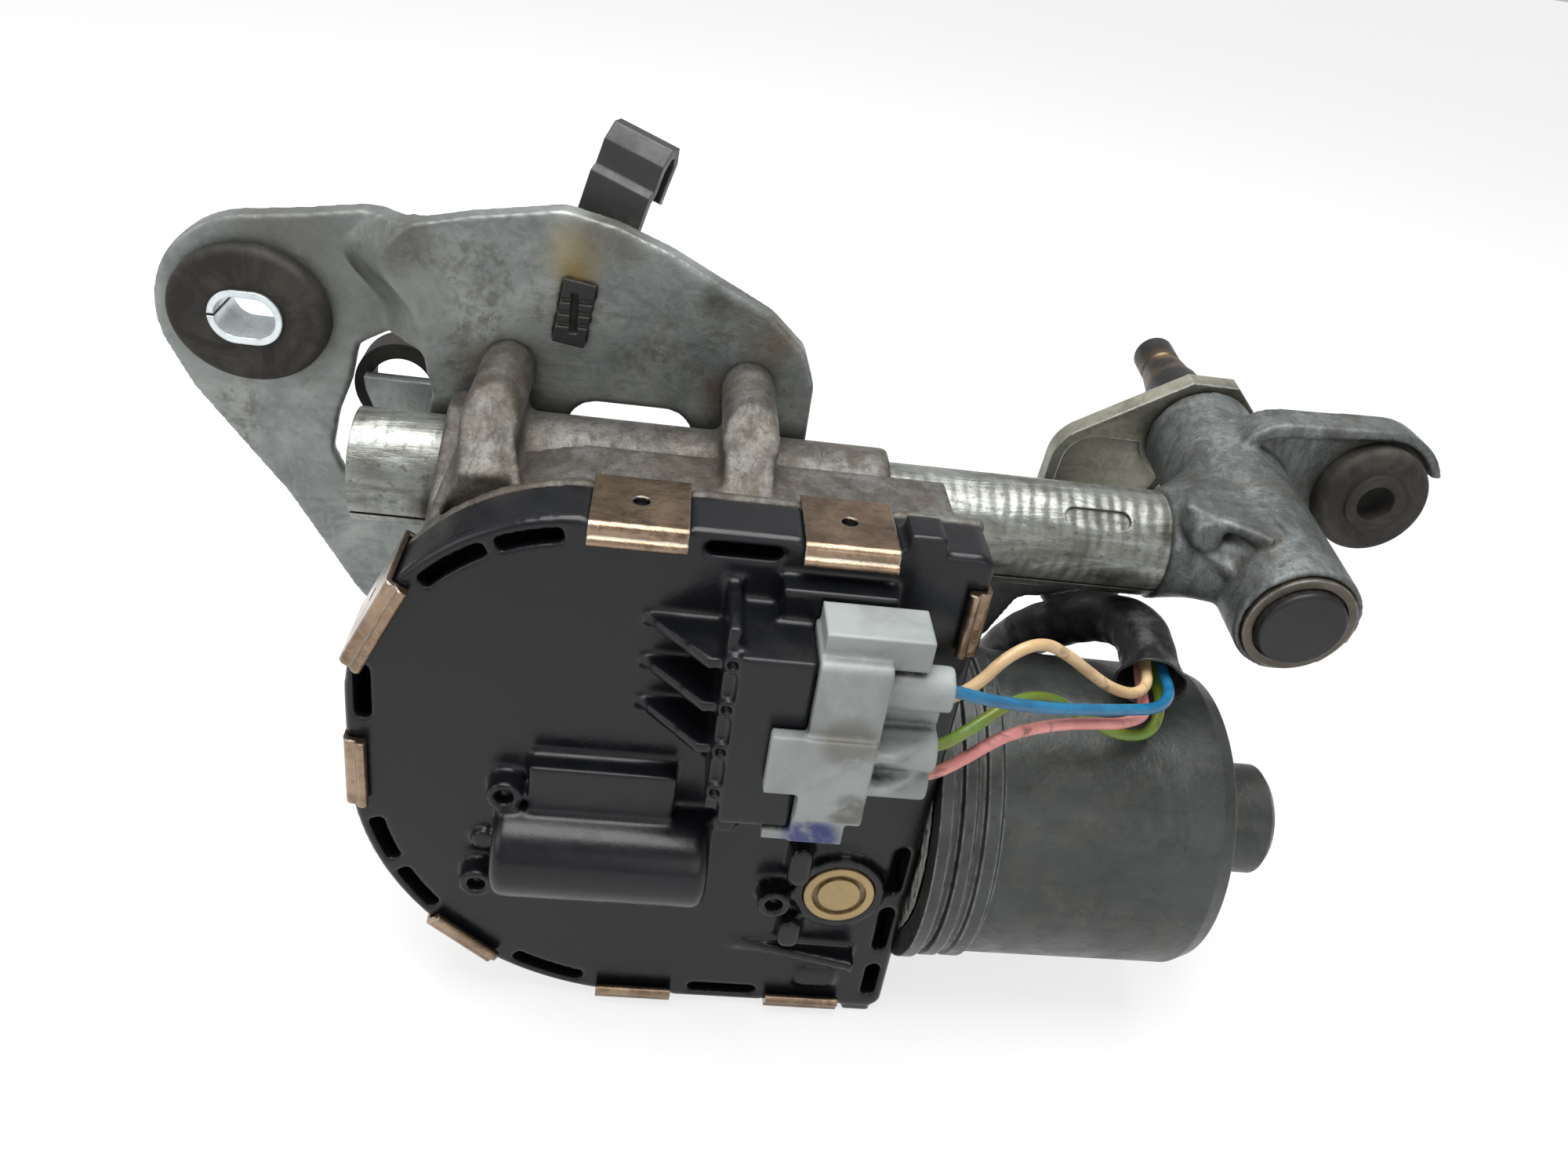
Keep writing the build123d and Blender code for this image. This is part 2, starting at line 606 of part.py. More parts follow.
with BuildPart() as crank_arm:
    with BuildSketch(facing(crank_y1)):
        with BuildSketch(mode=Mode.PRIVATE) as ends:
            with Locations((gear_x, gear_z)):
                Circle(11.0)
            with Locations((crank_ball.X, crank_ball.Z)):
                Circle(8.5)
        add(make_hull(ends.sketch.edges(), mode=Mode.PRIVATE))
    extrude(amount=crank_y1 - crank_y0)
    fillet(crank_arm.faces().sort_by(Axis.Y)[-1].edges(), radius=0.8)
    rod_y(gear_x, gear_z, 6.0, 0, 10, Mode.SUBTRACT)
    rod_y(crank_ball.X, crank_ball.Z, 4.0, 0, 10, Mode.SUBTRACT)

with BuildPart() as crank_nut:
    with BuildSketch(facing(11.2)):
        with Locations((gear_x, gear_z)):
            RegularPolygon(7.5, 6)
            Circle(4.0, mode=Mode.SUBTRACT)
    extrude(amount=11.2 - crank_y1)


def ball_stud(plane, foot, stand):
    """Riveted stud: foot through the plate, waist, and ball. The plane is the plate's face."""
    with BuildPart() as stud:
        with BuildSketch(plane.offset(-foot)):
            Circle(4.0)
        extrude(amount=foot + stand)
        with Locations(plane.from_local_coords((0, 0, stand))):
            Sphere(ball_r)
    return stud


crank_stud = ball_stud(
    Plane(origin=(crank_ball.X, crank_y1, crank_ball.Z), x_dir=(1, 0, 0), z_dir=(0, 1, 0)),
    crank_y1 - crank_y0, ball_y - crank_y1)

# ---------------------------------------------------------------- spindle lever
with BuildPart() as spindle_lever:
    with BuildSketch(lever_plane):
        with BuildSketch(mode=Mode.PRIVATE) as pads:
            RegularPolygon(14.3, 8, rotation=22.5)
            with Locations((arm_dx, -arm_dz)):
                Circle(11.2)
            with Locations((-22.5, 10.5)):
                Circle(10.0)
        add(make_hull(pads.sketch.edges(), mode=Mode.PRIVATE))
    extrude(amount=lever_t)
    # shallow stamped panel inside a raised rim, on the near face
    with BuildSketch(lever_plane):
        with BuildSketch(mode=Mode.PRIVATE) as panel:
            with Locations((-10.0, 10.0)):
                Circle(6.6)
            with Locations((-22.5, 10.5)):
                Circle(7.4)
            with Locations((arm_dx, -arm_dz)):
                Circle(8.8)
        add(make_hull(panel.sketch.edges(), mode=Mode.PRIVATE))
        with Locations((0, 0)):
            Circle(13.4, mode=Mode.SUBTRACT)
    extrude(amount=1.2, mode=Mode.SUBTRACT)
    rod_s(6.0, 50, 90, Mode.SUBTRACT)
    with BuildSketch(lever_plane.offset(-5)):
        with Locations((arm_dx, -arm_dz)):
            Circle(4.0)
    extrude(amount=20, mode=Mode.SUBTRACT)

lever_stud = ball_stud(
    Plane(origin=lever_plane.from_local_coords((arm_dx, -arm_dz, 1.2)), x_dir=(1, 0, 0),
          z_dir=-lever_plane.z_dir),
    lever_t - 1.2, ball_stand + 1.2)

# ---------------------------------------------------------------- wiper spindle
lever_back = barrel_length + 0.6 + lever_t
knurl_start, knurl_end, spindle_tip = 91.0, 98.0, 108.4
with BuildPart() as wiper_spindle:
    rod_s(6.0, 3.4, lever_back + 1)
    with BuildSketch(Plane(origin=spindle_axis.origin, x_dir=spindle_axis.z_dir,
                           z_dir=(1, 0, 0))):
        with BuildLine():
            Polyline(
                (lever_back, 0), (lever_back, 8.4), (lever_back + 1.5, 8.6),
                (lever_back + 10, 7.6), (knurl_start - 1.5, 6.6), (knurl_start - 1.2, 6.2),
                (knurl_end, 5.1), (knurl_end + 0.6, 4.6), (knurl_end + 1.4, 5.0),
                (spindle_tip - 1.2, 5.0), (spindle_tip, 4.0), (spindle_tip, 0), close=True)
        make_face()
    revolve(axis=Axis(spindle_axis.origin, spindle_axis.z_dir))
    # knurled cone for the wiper arm
    with BuildSketch(on_spindle(knurl_start - 1)):
        with PolarLocations(6.7, 36):
            RegularPolygon(0.6, 3)
    extrude(amount=knurl_end - knurl_start + 1, mode=Mode.SUBTRACT)
    # groove of the retaining clip
    with BuildSketch(on_spindle(4.6)):
        Circle(7)
        Circle(5.3, mode=Mode.SUBTRACT)
    extrude(amount=1.1, mode=Mode.SUBTRACT)

spindle_clip = ring_s(8.2, 5.3, 4.65, 5.65)
lower_bush = ring_s(9.0, 6.05, 6.0, 25.0)
upper_bush = ring_s(9.0, 6.05, 48.0, barrel_length)
end_ring = ring_s(10.9, 9.1, -0.9, 1.6)
with BuildPart() as end_cap:
    rod_s(9.05, 0.2, 1.6)
    rod_s(8.6, -2.6, 0.2)
    fillet(end_cap.faces().sort_by(Axis.Y)[0].edges(), radius=0.8)
    rod_s(7.2, 0, 2, Mode.SUBTRACT)

# ---------------------------------------------------------------- bearing housing
with BuildPart() as bearing_housing:
    rod_s(barrel_r, 0, barrel_length)
    # spigot inside the tube and the flared neck
    rod_x(tube_y, tube_z, tube_r - tube_wall, tube_right - 20, tube_right + 4)
    with BuildSketch(along_x(tube_right, tube_y, tube_z)):
        Circle(tube_r + 0.6)
    with BuildSketch(along_x(spindle_x - 4, tube_y + 1.0, tube_z + 5.4)):
        RectangleRounded(50, 19, 9)
    loft()
    # two ribs and the small round pad on the front of the neck
    for rise, reach in ((4.4, -25.5), (12.0, -20.0)):
        with BuildSketch(Plane.XY.offset(tube_z + rise)):
            with BuildLine():
                Polyline((tube_right + 0.5, tube_y - 9.0), (tube_right + 14, tube_y + reach),
                         (spindle_x, tube_y + reach + 4), (spindle_x, tube_y),
                         (tube_right + 4, tube_y), close=True)
            make_face()
        extrude(amount=2.2)
    rod_y(tube_right + 4.0, tube_z + 10.4, 3.2, tube_y - 15.0, tube_y)
    # ear for the right bush, with a lip over it
    with BuildSketch(facing(2.4)):
        with BuildSketch(mode=Mode.PRIVATE) as ear:
            with Locations((right_x, right_z)):
                Circle(12.0)
            with Locations((spindle_x + 8, -11)):
                Circle(10.0)
        add(make_hull(ear.sketch.edges(), mode=Mode.PRIVATE))
        with BuildSketch(mode=Mode.PRIVATE) as ear_top:
            with Locations((right_x, right_z)):
                Circle(15.6)
            with Locations((spindle_x + 8, -9)):
                Circle(10.8)
        with BuildSketch(mode=Mode.PRIVATE) as upper_ear:
            add(make_hull(ear_top.sketch.edges(), mode=Mode.PRIVATE))
            with Locations((right_x, right_z - 19)):
                Rectangle(90, 50, mode=Mode.SUBTRACT)
        add(upper_ear.sketch)
    extrude(amount=4.2)
    with BuildSketch(facing(5.0)):
        with BuildSketch(mode=Mode.PRIVATE) as lip:
            with Locations((right_x, right_z)):
                Circle(15.6)
            with Locations((spindle_x + 8, -9)):
                Circle(10.8)
        add(make_hull(lip.sketch.edges(), mode=Mode.PRIVATE))
        with BuildSketch(mode=Mode.PRIVATE) as below:
            with Locations((right_x, right_z)):
                Circle(13.4)
            with Locations((spindle_x + 8, -11)):
                Circle(9.6)
        add(make_hull(below.sketch.edges(), mode=Mode.PRIVATE), mode=Mode.SUBTRACT)
        with Locations((right_x, right_z - 19)):
            Rectangle(90, 50, mode=Mode.SUBTRACT)
    extrude(amount=9.0)
    # bores: bushes and spindle through the barrel, end ring seat, right bush seat
    rod_s(9.0, -1, barrel_length + 1, Mode.SUBTRACT)
    rod_s(10.9, -0.9, 1.6, Mode.SUBTRACT)
    rod_y(right_x, right_z, 9.0, -10, 10, Mode.SUBTRACT)

# ---------------------------------------------------------------- rubber bushes
with BuildPart() as left_grommet:
    for y0, y1, rx, rz in ((-5.2, -1.2, 15.2, 13.4), (-1.2, 1.2, 11.0, 9.6),
                           (1.2, 5.2, 14.0, 12.4)):
        with BuildSketch(facing(y1)):
            Ellipse(rx, rz)
        extrude(amount=y1 - y0)
    fillet(left_grommet.faces().sort_by(Axis.Y)[0].edges(), radius=1.6)
    fillet(left_grommet.faces().sort_by(Axis.Y)[-1].edges(), radius=1.6)
    with BuildSketch(facing(8)):
        SlotOverall(14.0, 10.6)
    extrude(amount=16, mode=Mode.SUBTRACT)

with BuildPart() as left_sleeve:
    with BuildSketch(facing(6.0)):
        SlotOverall(14.0, 10.6)
        SlotOverall(11.4, 8.0, mode=Mode.SUBTRACT)
    extrude(amount=12.0)
    box_between(-7.5, -5.5, -7, 7, -0.25, 0.25, Mode.SUBTRACT)

with BuildPart() as right_grommet:
    rod_y(right_x, right_z, 12.3, -6.4, -1.8)
    rod_y(right_x, right_z, 9.0, -1.8, 2.4)
    rod_y(right_x, right_z, 11.8, 2.4, 6.0)
    fillet(right_grommet.faces().sort_by(Axis.Y)[0].edges(), radius=1.8)
    fillet(right_grommet.faces().sort_by(Axis.Y)[-1].edges(), radius=1.4)
    rod_y(right_x, right_z, 6.6, -7.0, -3.4)
    rod_y(right_x, right_z, bore_r, -10, 10, Mode.SUBTRACT)

# ---------------------------------------------------------------- link rod
rod_dir = lever_ball - crank_ball
rod_length = rod_dir.length
rod_plane = Plane(origin=crank_ball, x_dir=(0, 1, 0), z_dir=rod_dir.normalized())
cup_depth = 6.6


def ball_socket(centre, opens, reach, gap):
    """Plastic cup around a ball, open on one side, with a spigot that grips the rod."""
    cup_plane = Plane(origin=centre, x_dir=(1, 0, 0), z_dir=opens)
    with BuildPart() as socket:
        with BuildSketch(cup_plane.offset(-cup_depth - 2.2)):
            Circle(socket_r)
        extrude(amount=cup_depth + 4.8)
        fillet(socket.faces().sort_by(Axis(centre, opens))[0].edges(), radius=2.4)
        with BuildSketch(Plane(origin=centre, x_dir=(0, 1, 0), z_dir=reach)):
            Circle(6.2)
        extrude(amount=19)
        with Locations(centre):
            Sphere(ball_r + gap, mode=Mode.SUBTRACT)
        with BuildSketch(cup_plane):
            Circle(ball_r + gap)
        extrude(amount=12, mode=Mode.SUBTRACT)
        with BuildSketch(Plane(origin=centre, x_dir=(0, 1, 0), z_dir=reach).offset(11)):
            Circle(4.5)
        extrude(amount=12, mode=Mode.SUBTRACT)
    return socket


crank_socket = ball_socket(crank_ball, Vector(0, -1, 0), rod_dir.normalized(), 0.3)
lever_socket = ball_socket(lever_ball, Vector(0, 1, 0), -rod_dir.normalized(), 0.6)

with BuildPart() as link_rod:
    with BuildSketch(rod_plane.offset(11)):
        Circle(4.5)
    extrude(amount=rod_length - 22)

# ---------------------------------------------------------------- rear tab and harness clip
with BuildPart() as rear_tab:
    with BuildSketch(Plane.XY.offset(-29.0)):
        with BuildLine():
            Polyline((56.0, plate_back), (42.0, plate_back), (38.5, 5.6), (17.5, 5.6),
                     (17.5, 8.6), (40.7, 8.6), (44.4, plate_back + 3.0),
                     (56.0, plate_back + 3.0), close=True)
        make_face()
    extrude(amount=14.2)
    fillet(rear_tab.edges().filter_by(Axis.Z).group_by(Axis.X)[1:-1], radius=0.9)
    box_between(52, 60, -10, 10, -40, -26, Mode.SUBTRACT)
    # sloping free end
    with BuildSketch(facing(12.0)):
        with BuildLine():
            Polyline((10.0, -12.0), (18.6, -12.0), (19.4, -17.5), (24.4, -31.0), (10.0, -31.0),
                     close=True)
        make_face()
    extrude(amount=10.0, mode=Mode.SUBTRACT)
buffer_x, buffer_z = 26.0, -17.6
buffer_ring = ring_y(buffer_x, buffer_z, 9.6, 6.4, 8.6, 16.0)

clip_foot = (62.2, 9.4)
clip_lean = 15.0            # the strip leans to the right of straight up
clip_turn = 20.0            # the free part is turned to the left about its own length


def strip_plane(turn):
    """Section plane of the strip: local x towards the back, local y along the strip."""
    lean, yaw = radians(clip_lean), radians(turn)
    return Plane(origin=(clip_foot[0], 0, clip_foot[1]),
                 x_dir=(sin(yaw) * cos(lean), cos(yaw), -sin(yaw) * sin(lean)),
                 z_dir=(cos(yaw) * cos(lean), -sin(yaw), -cos(yaw) * sin(lean)))


with BuildPart() as harness_clip:
    # root behind the sheet
    with BuildSketch(strip_plane(0)):
        with BuildLine():
            Polyline((plate_back, -5.0), (plate_back, 2.0), (-0.9, 11.0), (-0.9, 16.0),
                     (1.1, 16.0), (1.1, 10.0), (plate_back + 2.0, 1.2),
                     (plate_back + 2.0, -5.0), close=True)
        make_face()
    extrude(amount=6.3, both=True)
    # free part with its backward hook
    with BuildSketch(strip_plane(clip_turn)) as strip_section:
        with BuildLine():
            Polyline(
                (0.9, 13.0), (0.9, 24.0), (2.4, 25.2), (2.6, 30.0), (5.0, 33.2), (8.2, 33.4),
                (10.4, 30.0), (9.8, 21.6), (8.0, 22.0), (8.6, 29.4), (7.4, 31.4), (5.8, 31.3),
                (4.4, 29.0), (4.2, 24.2), (2.9, 22.8), (2.9, 13.0), close=True)
        make_face()
        fillet(strip_section.vertices().sort_by(Axis.Y)[3:], radius=0.55)
    extrude(amount=6.3, both=True)
    # toothed snap foot that fills the rectangular hole of the sheet
    with BuildSketch(facing(plate_back + 0.5)):
        with Locations(clip_foot):
            Rectangle(6.2, 12.8, rotation=-8)
    extrude(amount=sheet + 1.4)
    box_between(61.4, 63.0, plate_front - 2, plate_back, 5.4, 13.4, Mode.SUBTRACT)
    for tooth in (6.6, 9.0, 11.4):
        box_between(58, 66, plate_front - 2, plate_front, tooth, tooth + 0.9, Mode.SUBTRACT)

# ---------------------------------------------------------------- circuit board
with BuildPart() as circuit_board:
    with BuildSketch(facing(-52.6)):
        cover_outline(9.0)
    extrude(amount=1.6)

# ---------------------------------------------------------------- plug of the motor harness
towers = {"blue": (-76.0, -21.8), "beige": (-70.0, -29.6), "green": (-75.0, -35.6),
          "pink": (-74.0, -42.8)}
tower_end = 132.0
tower_bore_x = 125.5
with BuildPart() as connector_plug:
    box_between(109.05, 121.0, -81.4, -67.8, -49.4, -15.4)
    box_between(header_x0 + 2.2, 110, -77.5, cover_front - 1.6, -50.0, -18.8)
    fillet(connector_plug.edges().filter_by(Axis.X).group_by(Axis.Y)[0], radius=1.6)
    # roof tab and front latch frame
    box_between(109.6, 127.4, -78.4, -68.4, -17.2, -11.4)
    box_between(109.05, 120.4, -83.0, -80.0, -46.8, -29.6)
    box_between(103.0, 109.4, -82.6, -79.7, -41.6, -29.6)
    box_between(104.4, 118.4, -80.0, -67.0, -54.0, -52.2)
    box_between(109.05, 118.4, -80.6, -67.0, -54.0, -49.0)
    box_between(114.5, 117.0, -80.0, -67.0, -54.0, -48.0)
    for name, (y, z) in towers.items():
        rod_x(y, z, 3.9, 120.0, tower_end)
        rod_x(y, z, 2.7, tower_bore_x, tower_end + 1, Mode.SUBTRACT)
    # stepped guides beside the towers
    for z in (-33.0, -40.0):
        with BuildSketch(Plane.XY.offset(z - 0.9)):
            with BuildLine():
                Polyline((120.5, -82.0), (124.0, -82.0), (130.5, -76.5), (130.5, -73.0),
                         (120.5, -73.0), close=True)
            make_face()
        extrude(amount=1.8)

# ---------------------------------------------------------------- wires and sleeve


def bend_radii(points):
    """Tangent arc radius at each inner point, from the shorter neighbour run and the turn."""
    radii = []
    for before, here, after in zip(points, points[1:], points[2:]):
        a, b = Vector(*here) - Vector(*before), Vector(*after) - Vector(*here)
        turn = acos(max(-1, min(1, a.normalized().dot(b.normalized()))))
        radii.append(0.45 * min(a.length, b.length) / tan(turn / 2))
    return radii


def cord(name, points, r_out, r_in=0.0):
    """Round cord or hollow sleeve along straight runs joined by tangent arcs."""
    radii = bend_radii(points)
    start = Vector(*points[0])
    with BuildPart() as body:
        with BuildLine() as route:
            FilletPolyline(*points, radius=radii)
        with BuildSketch(Plane(origin=start, z_dir=(Vector(*points[1]) - start).normalized())):
            Circle(r_out)
            if r_in:
                Circle(r_in, mode=Mode.SUBTRACT)
        sweep()
    length = sum(edge.length for edge in route.edges())
    section = pi * (r_out ** 2 - r_in ** 2)
    print(f"{name}: length {length:.1f}, radii {[round(r, 1) for r in radii]},",
          f"volume ratio {body.part.volume / (section * length):.4f}")
    return body


sleeve_points = [(180.6, -46.0, -38.0), (182.6, -34.6, -34.6), (179.6, -23.6, -37.2),
                 (173.0, -13.4, -45.8), (166.6, -4.6, -57.2), (163.4, 1.6, -70.6),
                 (163.4, 1.6, -96.0)]
wire_ends = {"blue": (1.6, -1.6), "beige": (-1.6, -1.6), "green": (1.6, 1.6),
             "pink": (-1.6, 1.6)}
wires_meet = 9.0            # the wires join the wrapped bundle this far inside the sleeve
mouth_dir = (Vector(*sleeve_points[1]) - Vector(*sleeve_points[0])).normalized()
sleeve_mouth = Plane(origin=sleeve_points[0], x_dir=Vector(1, 0, 0) - mouth_dir * mouth_dir.X,
                     z_dir=mouth_dir)
wire_points = {
    "blue": [(132.0, -76.0, -21.8), (138.0, -75.4, -23.6), (147.5, -71.5, -27.2),
             (158.5, -66.4, -30.8), (169.5, -61.2, -33.8), (178.4, -57.2, -35.8),
             (182.8, -51.0, -36.3)],
    "beige": [(132.0, -70.0, -29.6), (138.2, -69.8, -25.2), (143.0, -67.6, -19.6),
              (149.8, -63.8, -18.6), (156.6, -60.0, -23.6), (162.6, -57.2, -28.8),
              (168.4, -55.4, -33.2), (174.2, -53.9, -35.5), (178.3, -49.9, -35.7)],
    "green": [(132.0, -75.0, -35.6), (138.0, -73.6, -31.6), (146.0, -68.6, -28.0),
              (155.1, -61.6, -31.8), (164.0, -57.0, -39.0), (172.2, -57.2, -43.0),
              (180.2, -54.6, -43.8), (183.0, -48.6, -41.0)],
    "pink": [(132.0, -74.0, -42.8), (137.6, -73.9, -38.6), (144.6, -72.2, -33.3),
             (153.6, -68.2, -33.4), (162.5, -64.0, -35.4), (170.4, -60.3, -37.8),
             (177.4, -55.0, -39.4), (178.9, -48.6, -40.2)]}

cable_sleeve = cord("cable_sleeve", sleeve_points, sleeve_r, sleeve_r - sleeve_wall)
wires = {}
for name, inner in wire_points.items():
    y, z = towers[name]
    u, v = wire_ends[name]
    mouth = sleeve_mouth.from_local_coords((u, v, 3.0))
    end = sleeve_mouth.from_local_coords((u, v, wires_meet))
    points = [(tower_bore_x, y, z)] + inner + [tuple(mouth), tuple(end)]
    wires[name] = cord(f"wire_{name}", points, wire_r)


with BuildPart() as wire_bundle:
    with BuildLine() as bundle_route:
        FilletPolyline(*sleeve_points, radius=bend_radii(sleeve_points))
    with BuildSketch(Plane(origin=sleeve_points[0], z_dir=mouth_dir)):
        Circle(4.3)
    sweep()
    with Locations(Location(Plane(origin=sleeve_points[0], z_dir=mouth_dir))):
        Box(14, 14, wires_meet * 2, mode=Mode.SUBTRACT)

with BuildPart() as harness_plug:
    with Locations((163.4, 1.6, -106.0)):
        Box(21.0, 12.6, 20.0)
    fillet(harness_plug.edges().filter_by(Axis.Z), radius=1.6)
    with Locations((163.4, 1.6, -116.0)):
        Box(17.0, 8.6, 15.0, mode=Mode.SUBTRACT)
    with Locations((163.4, 8.6, -104.0)):
        Box(8.0, 1.6, 12.0)

# ---------------------------------------------------------------- write every node
nodes = {
    "bracket_plate": bracket_plate, "frame_tube": frame_tube, "gear_housing": gear_housing,
    "electronics_cover": electronics_cover, "breather_disc": breather_disc,
    "circuit_board": circuit_board,
    "motor_can": motor_can, "magnet_upper": magnets[0],
    "magnet_lower": magnets[1], "brush_card": brush_card, "brush_upper": brushes[0],
    "brush_lower": brushes[1], "front_bearing": front_bearing, "rear_bearing": rear_bearing,
    "rotor_core": rotor_core, "commutator": commutator, "armature_shaft": armature_shaft,
    "worm_wheel": worm_wheel, "output_shaft": output_shaft, "output_bush": output_bush,
    "crank_arm": crank_arm, "crank_nut": crank_nut, "crank_stud": crank_stud,
    "link_rod": link_rod, "crank_socket": crank_socket, "lever_socket": lever_socket,
    "spindle_lever": spindle_lever, "lever_stud": lever_stud, "wiper_spindle": wiper_spindle,
    "spindle_clip": spindle_clip, "lower_bush": lower_bush,
    "upper_bush": upper_bush, "end_ring": end_ring, "end_cap": end_cap,
    "bearing_housing": bearing_housing, "left_grommet": left_grommet,
    "left_sleeve": left_sleeve, "right_grommet": right_grommet, "rear_tab": rear_tab,
    "buffer_ring": buffer_ring, "harness_clip": harness_clip,
    "connector_plug": connector_plug, "cable_sleeve": cable_sleeve,
    "wire_bundle": wire_bundle, "harness_plug": harness_plug}
nodes.update(fasteners)
for name, wire in wires.items():
    nodes[f"wire_{name}"] = wire
for name, place, angle, width in clips:
    nodes[f"cover_clip_{name}"] = spring_clip(place, angle, width)

for label, item in nodes.items():
    save(item.part, label)
print(len(nodes), "nodes")
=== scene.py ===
import bpy
import bmesh
import json
import random
from math import cos, exp, pi, sin
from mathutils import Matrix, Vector

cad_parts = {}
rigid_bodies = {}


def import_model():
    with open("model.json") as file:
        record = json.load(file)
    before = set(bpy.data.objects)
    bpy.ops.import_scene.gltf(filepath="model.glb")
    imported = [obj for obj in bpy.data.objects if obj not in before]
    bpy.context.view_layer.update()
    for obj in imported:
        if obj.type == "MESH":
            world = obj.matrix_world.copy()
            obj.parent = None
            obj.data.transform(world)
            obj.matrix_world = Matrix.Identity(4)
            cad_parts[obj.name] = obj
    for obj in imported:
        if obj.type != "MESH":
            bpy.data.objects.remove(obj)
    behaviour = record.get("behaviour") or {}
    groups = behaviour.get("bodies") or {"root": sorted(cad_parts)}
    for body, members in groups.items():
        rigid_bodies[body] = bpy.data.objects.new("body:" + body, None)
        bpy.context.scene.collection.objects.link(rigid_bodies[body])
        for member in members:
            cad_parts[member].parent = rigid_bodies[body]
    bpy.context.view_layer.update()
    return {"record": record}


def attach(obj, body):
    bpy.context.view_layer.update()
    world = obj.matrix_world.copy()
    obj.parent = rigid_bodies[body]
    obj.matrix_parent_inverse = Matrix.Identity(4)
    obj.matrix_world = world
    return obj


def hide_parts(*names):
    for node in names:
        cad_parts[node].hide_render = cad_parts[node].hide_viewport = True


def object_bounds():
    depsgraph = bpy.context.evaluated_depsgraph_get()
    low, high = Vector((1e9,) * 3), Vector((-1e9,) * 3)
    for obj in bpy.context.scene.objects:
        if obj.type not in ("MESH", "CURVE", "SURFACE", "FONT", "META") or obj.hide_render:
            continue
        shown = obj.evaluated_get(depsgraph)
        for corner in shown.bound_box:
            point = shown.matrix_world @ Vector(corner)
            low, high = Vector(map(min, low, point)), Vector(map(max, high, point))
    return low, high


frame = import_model()
scene = bpy.context.scene

# ---------------------------------------------------------------- driving dimensions, in metres
wire_diameter = 0.0022
sleeve_diameter = 0.0106
sleeve_wall = 0.00065
flare_length, flare_height = 0.007, 0.0019      # flared mouth of the sleeve
wire_depth = (0.003, 0.009)                     # how far the wires' last points lie in the sleeve

lobe_y, plate_y = -0.0012, -0.0072              # front faces of the bracket's lobe and main plane
fold_swing = -0.0080                            # furthest shift of the bracket's fold beside the bush
fold_height, fold_spread = 0.0145, 0.0075       # height of that place and reach above and below
bush_edge, fold_left = 0.011, 0.026             # the shift grows between these, from left to right
fade_start, fade_end = 0.034, 0.060             # and fades out to the right of the fold
clip_foot_x, clip_foot_z = 0.0622, 0.0094       # centre of the harness clip's foot
foot_reach, foot_closing = 0.0105, 0.0005       # the sheet closes in around that foot

floor_half, floor_drop = 4.0, 0.0005

# ---------------------------------------------------------------- camera
camera_data = bpy.data.cameras.new("camera")
camera_data.lens = 29.055
camera_data.sensor_width = 36.0
camera_data.sensor_fit = "HORIZONTAL"
camera_data.clip_start = 0.01
camera = bpy.data.objects.new("camera", camera_data)
camera.location = (0.07934, -0.24182, 0.09927)
camera.rotation_euler = (1.007064, -0.140566, -0.045959)
scene.collection.objects.link(camera)
scene.camera = camera


# ---------------------------------------------------------------- material helpers
def linear(r, g, b):
    """Colour for a shader socket from display values between 0 and 255."""
    channels = []
    for value in (r, g, b):
        v = value / 255
        channels.append(v / 12.92 if v <= 0.04045 else ((v + 0.055) / 1.055) ** 2.4)
    return (*channels, 1.0)


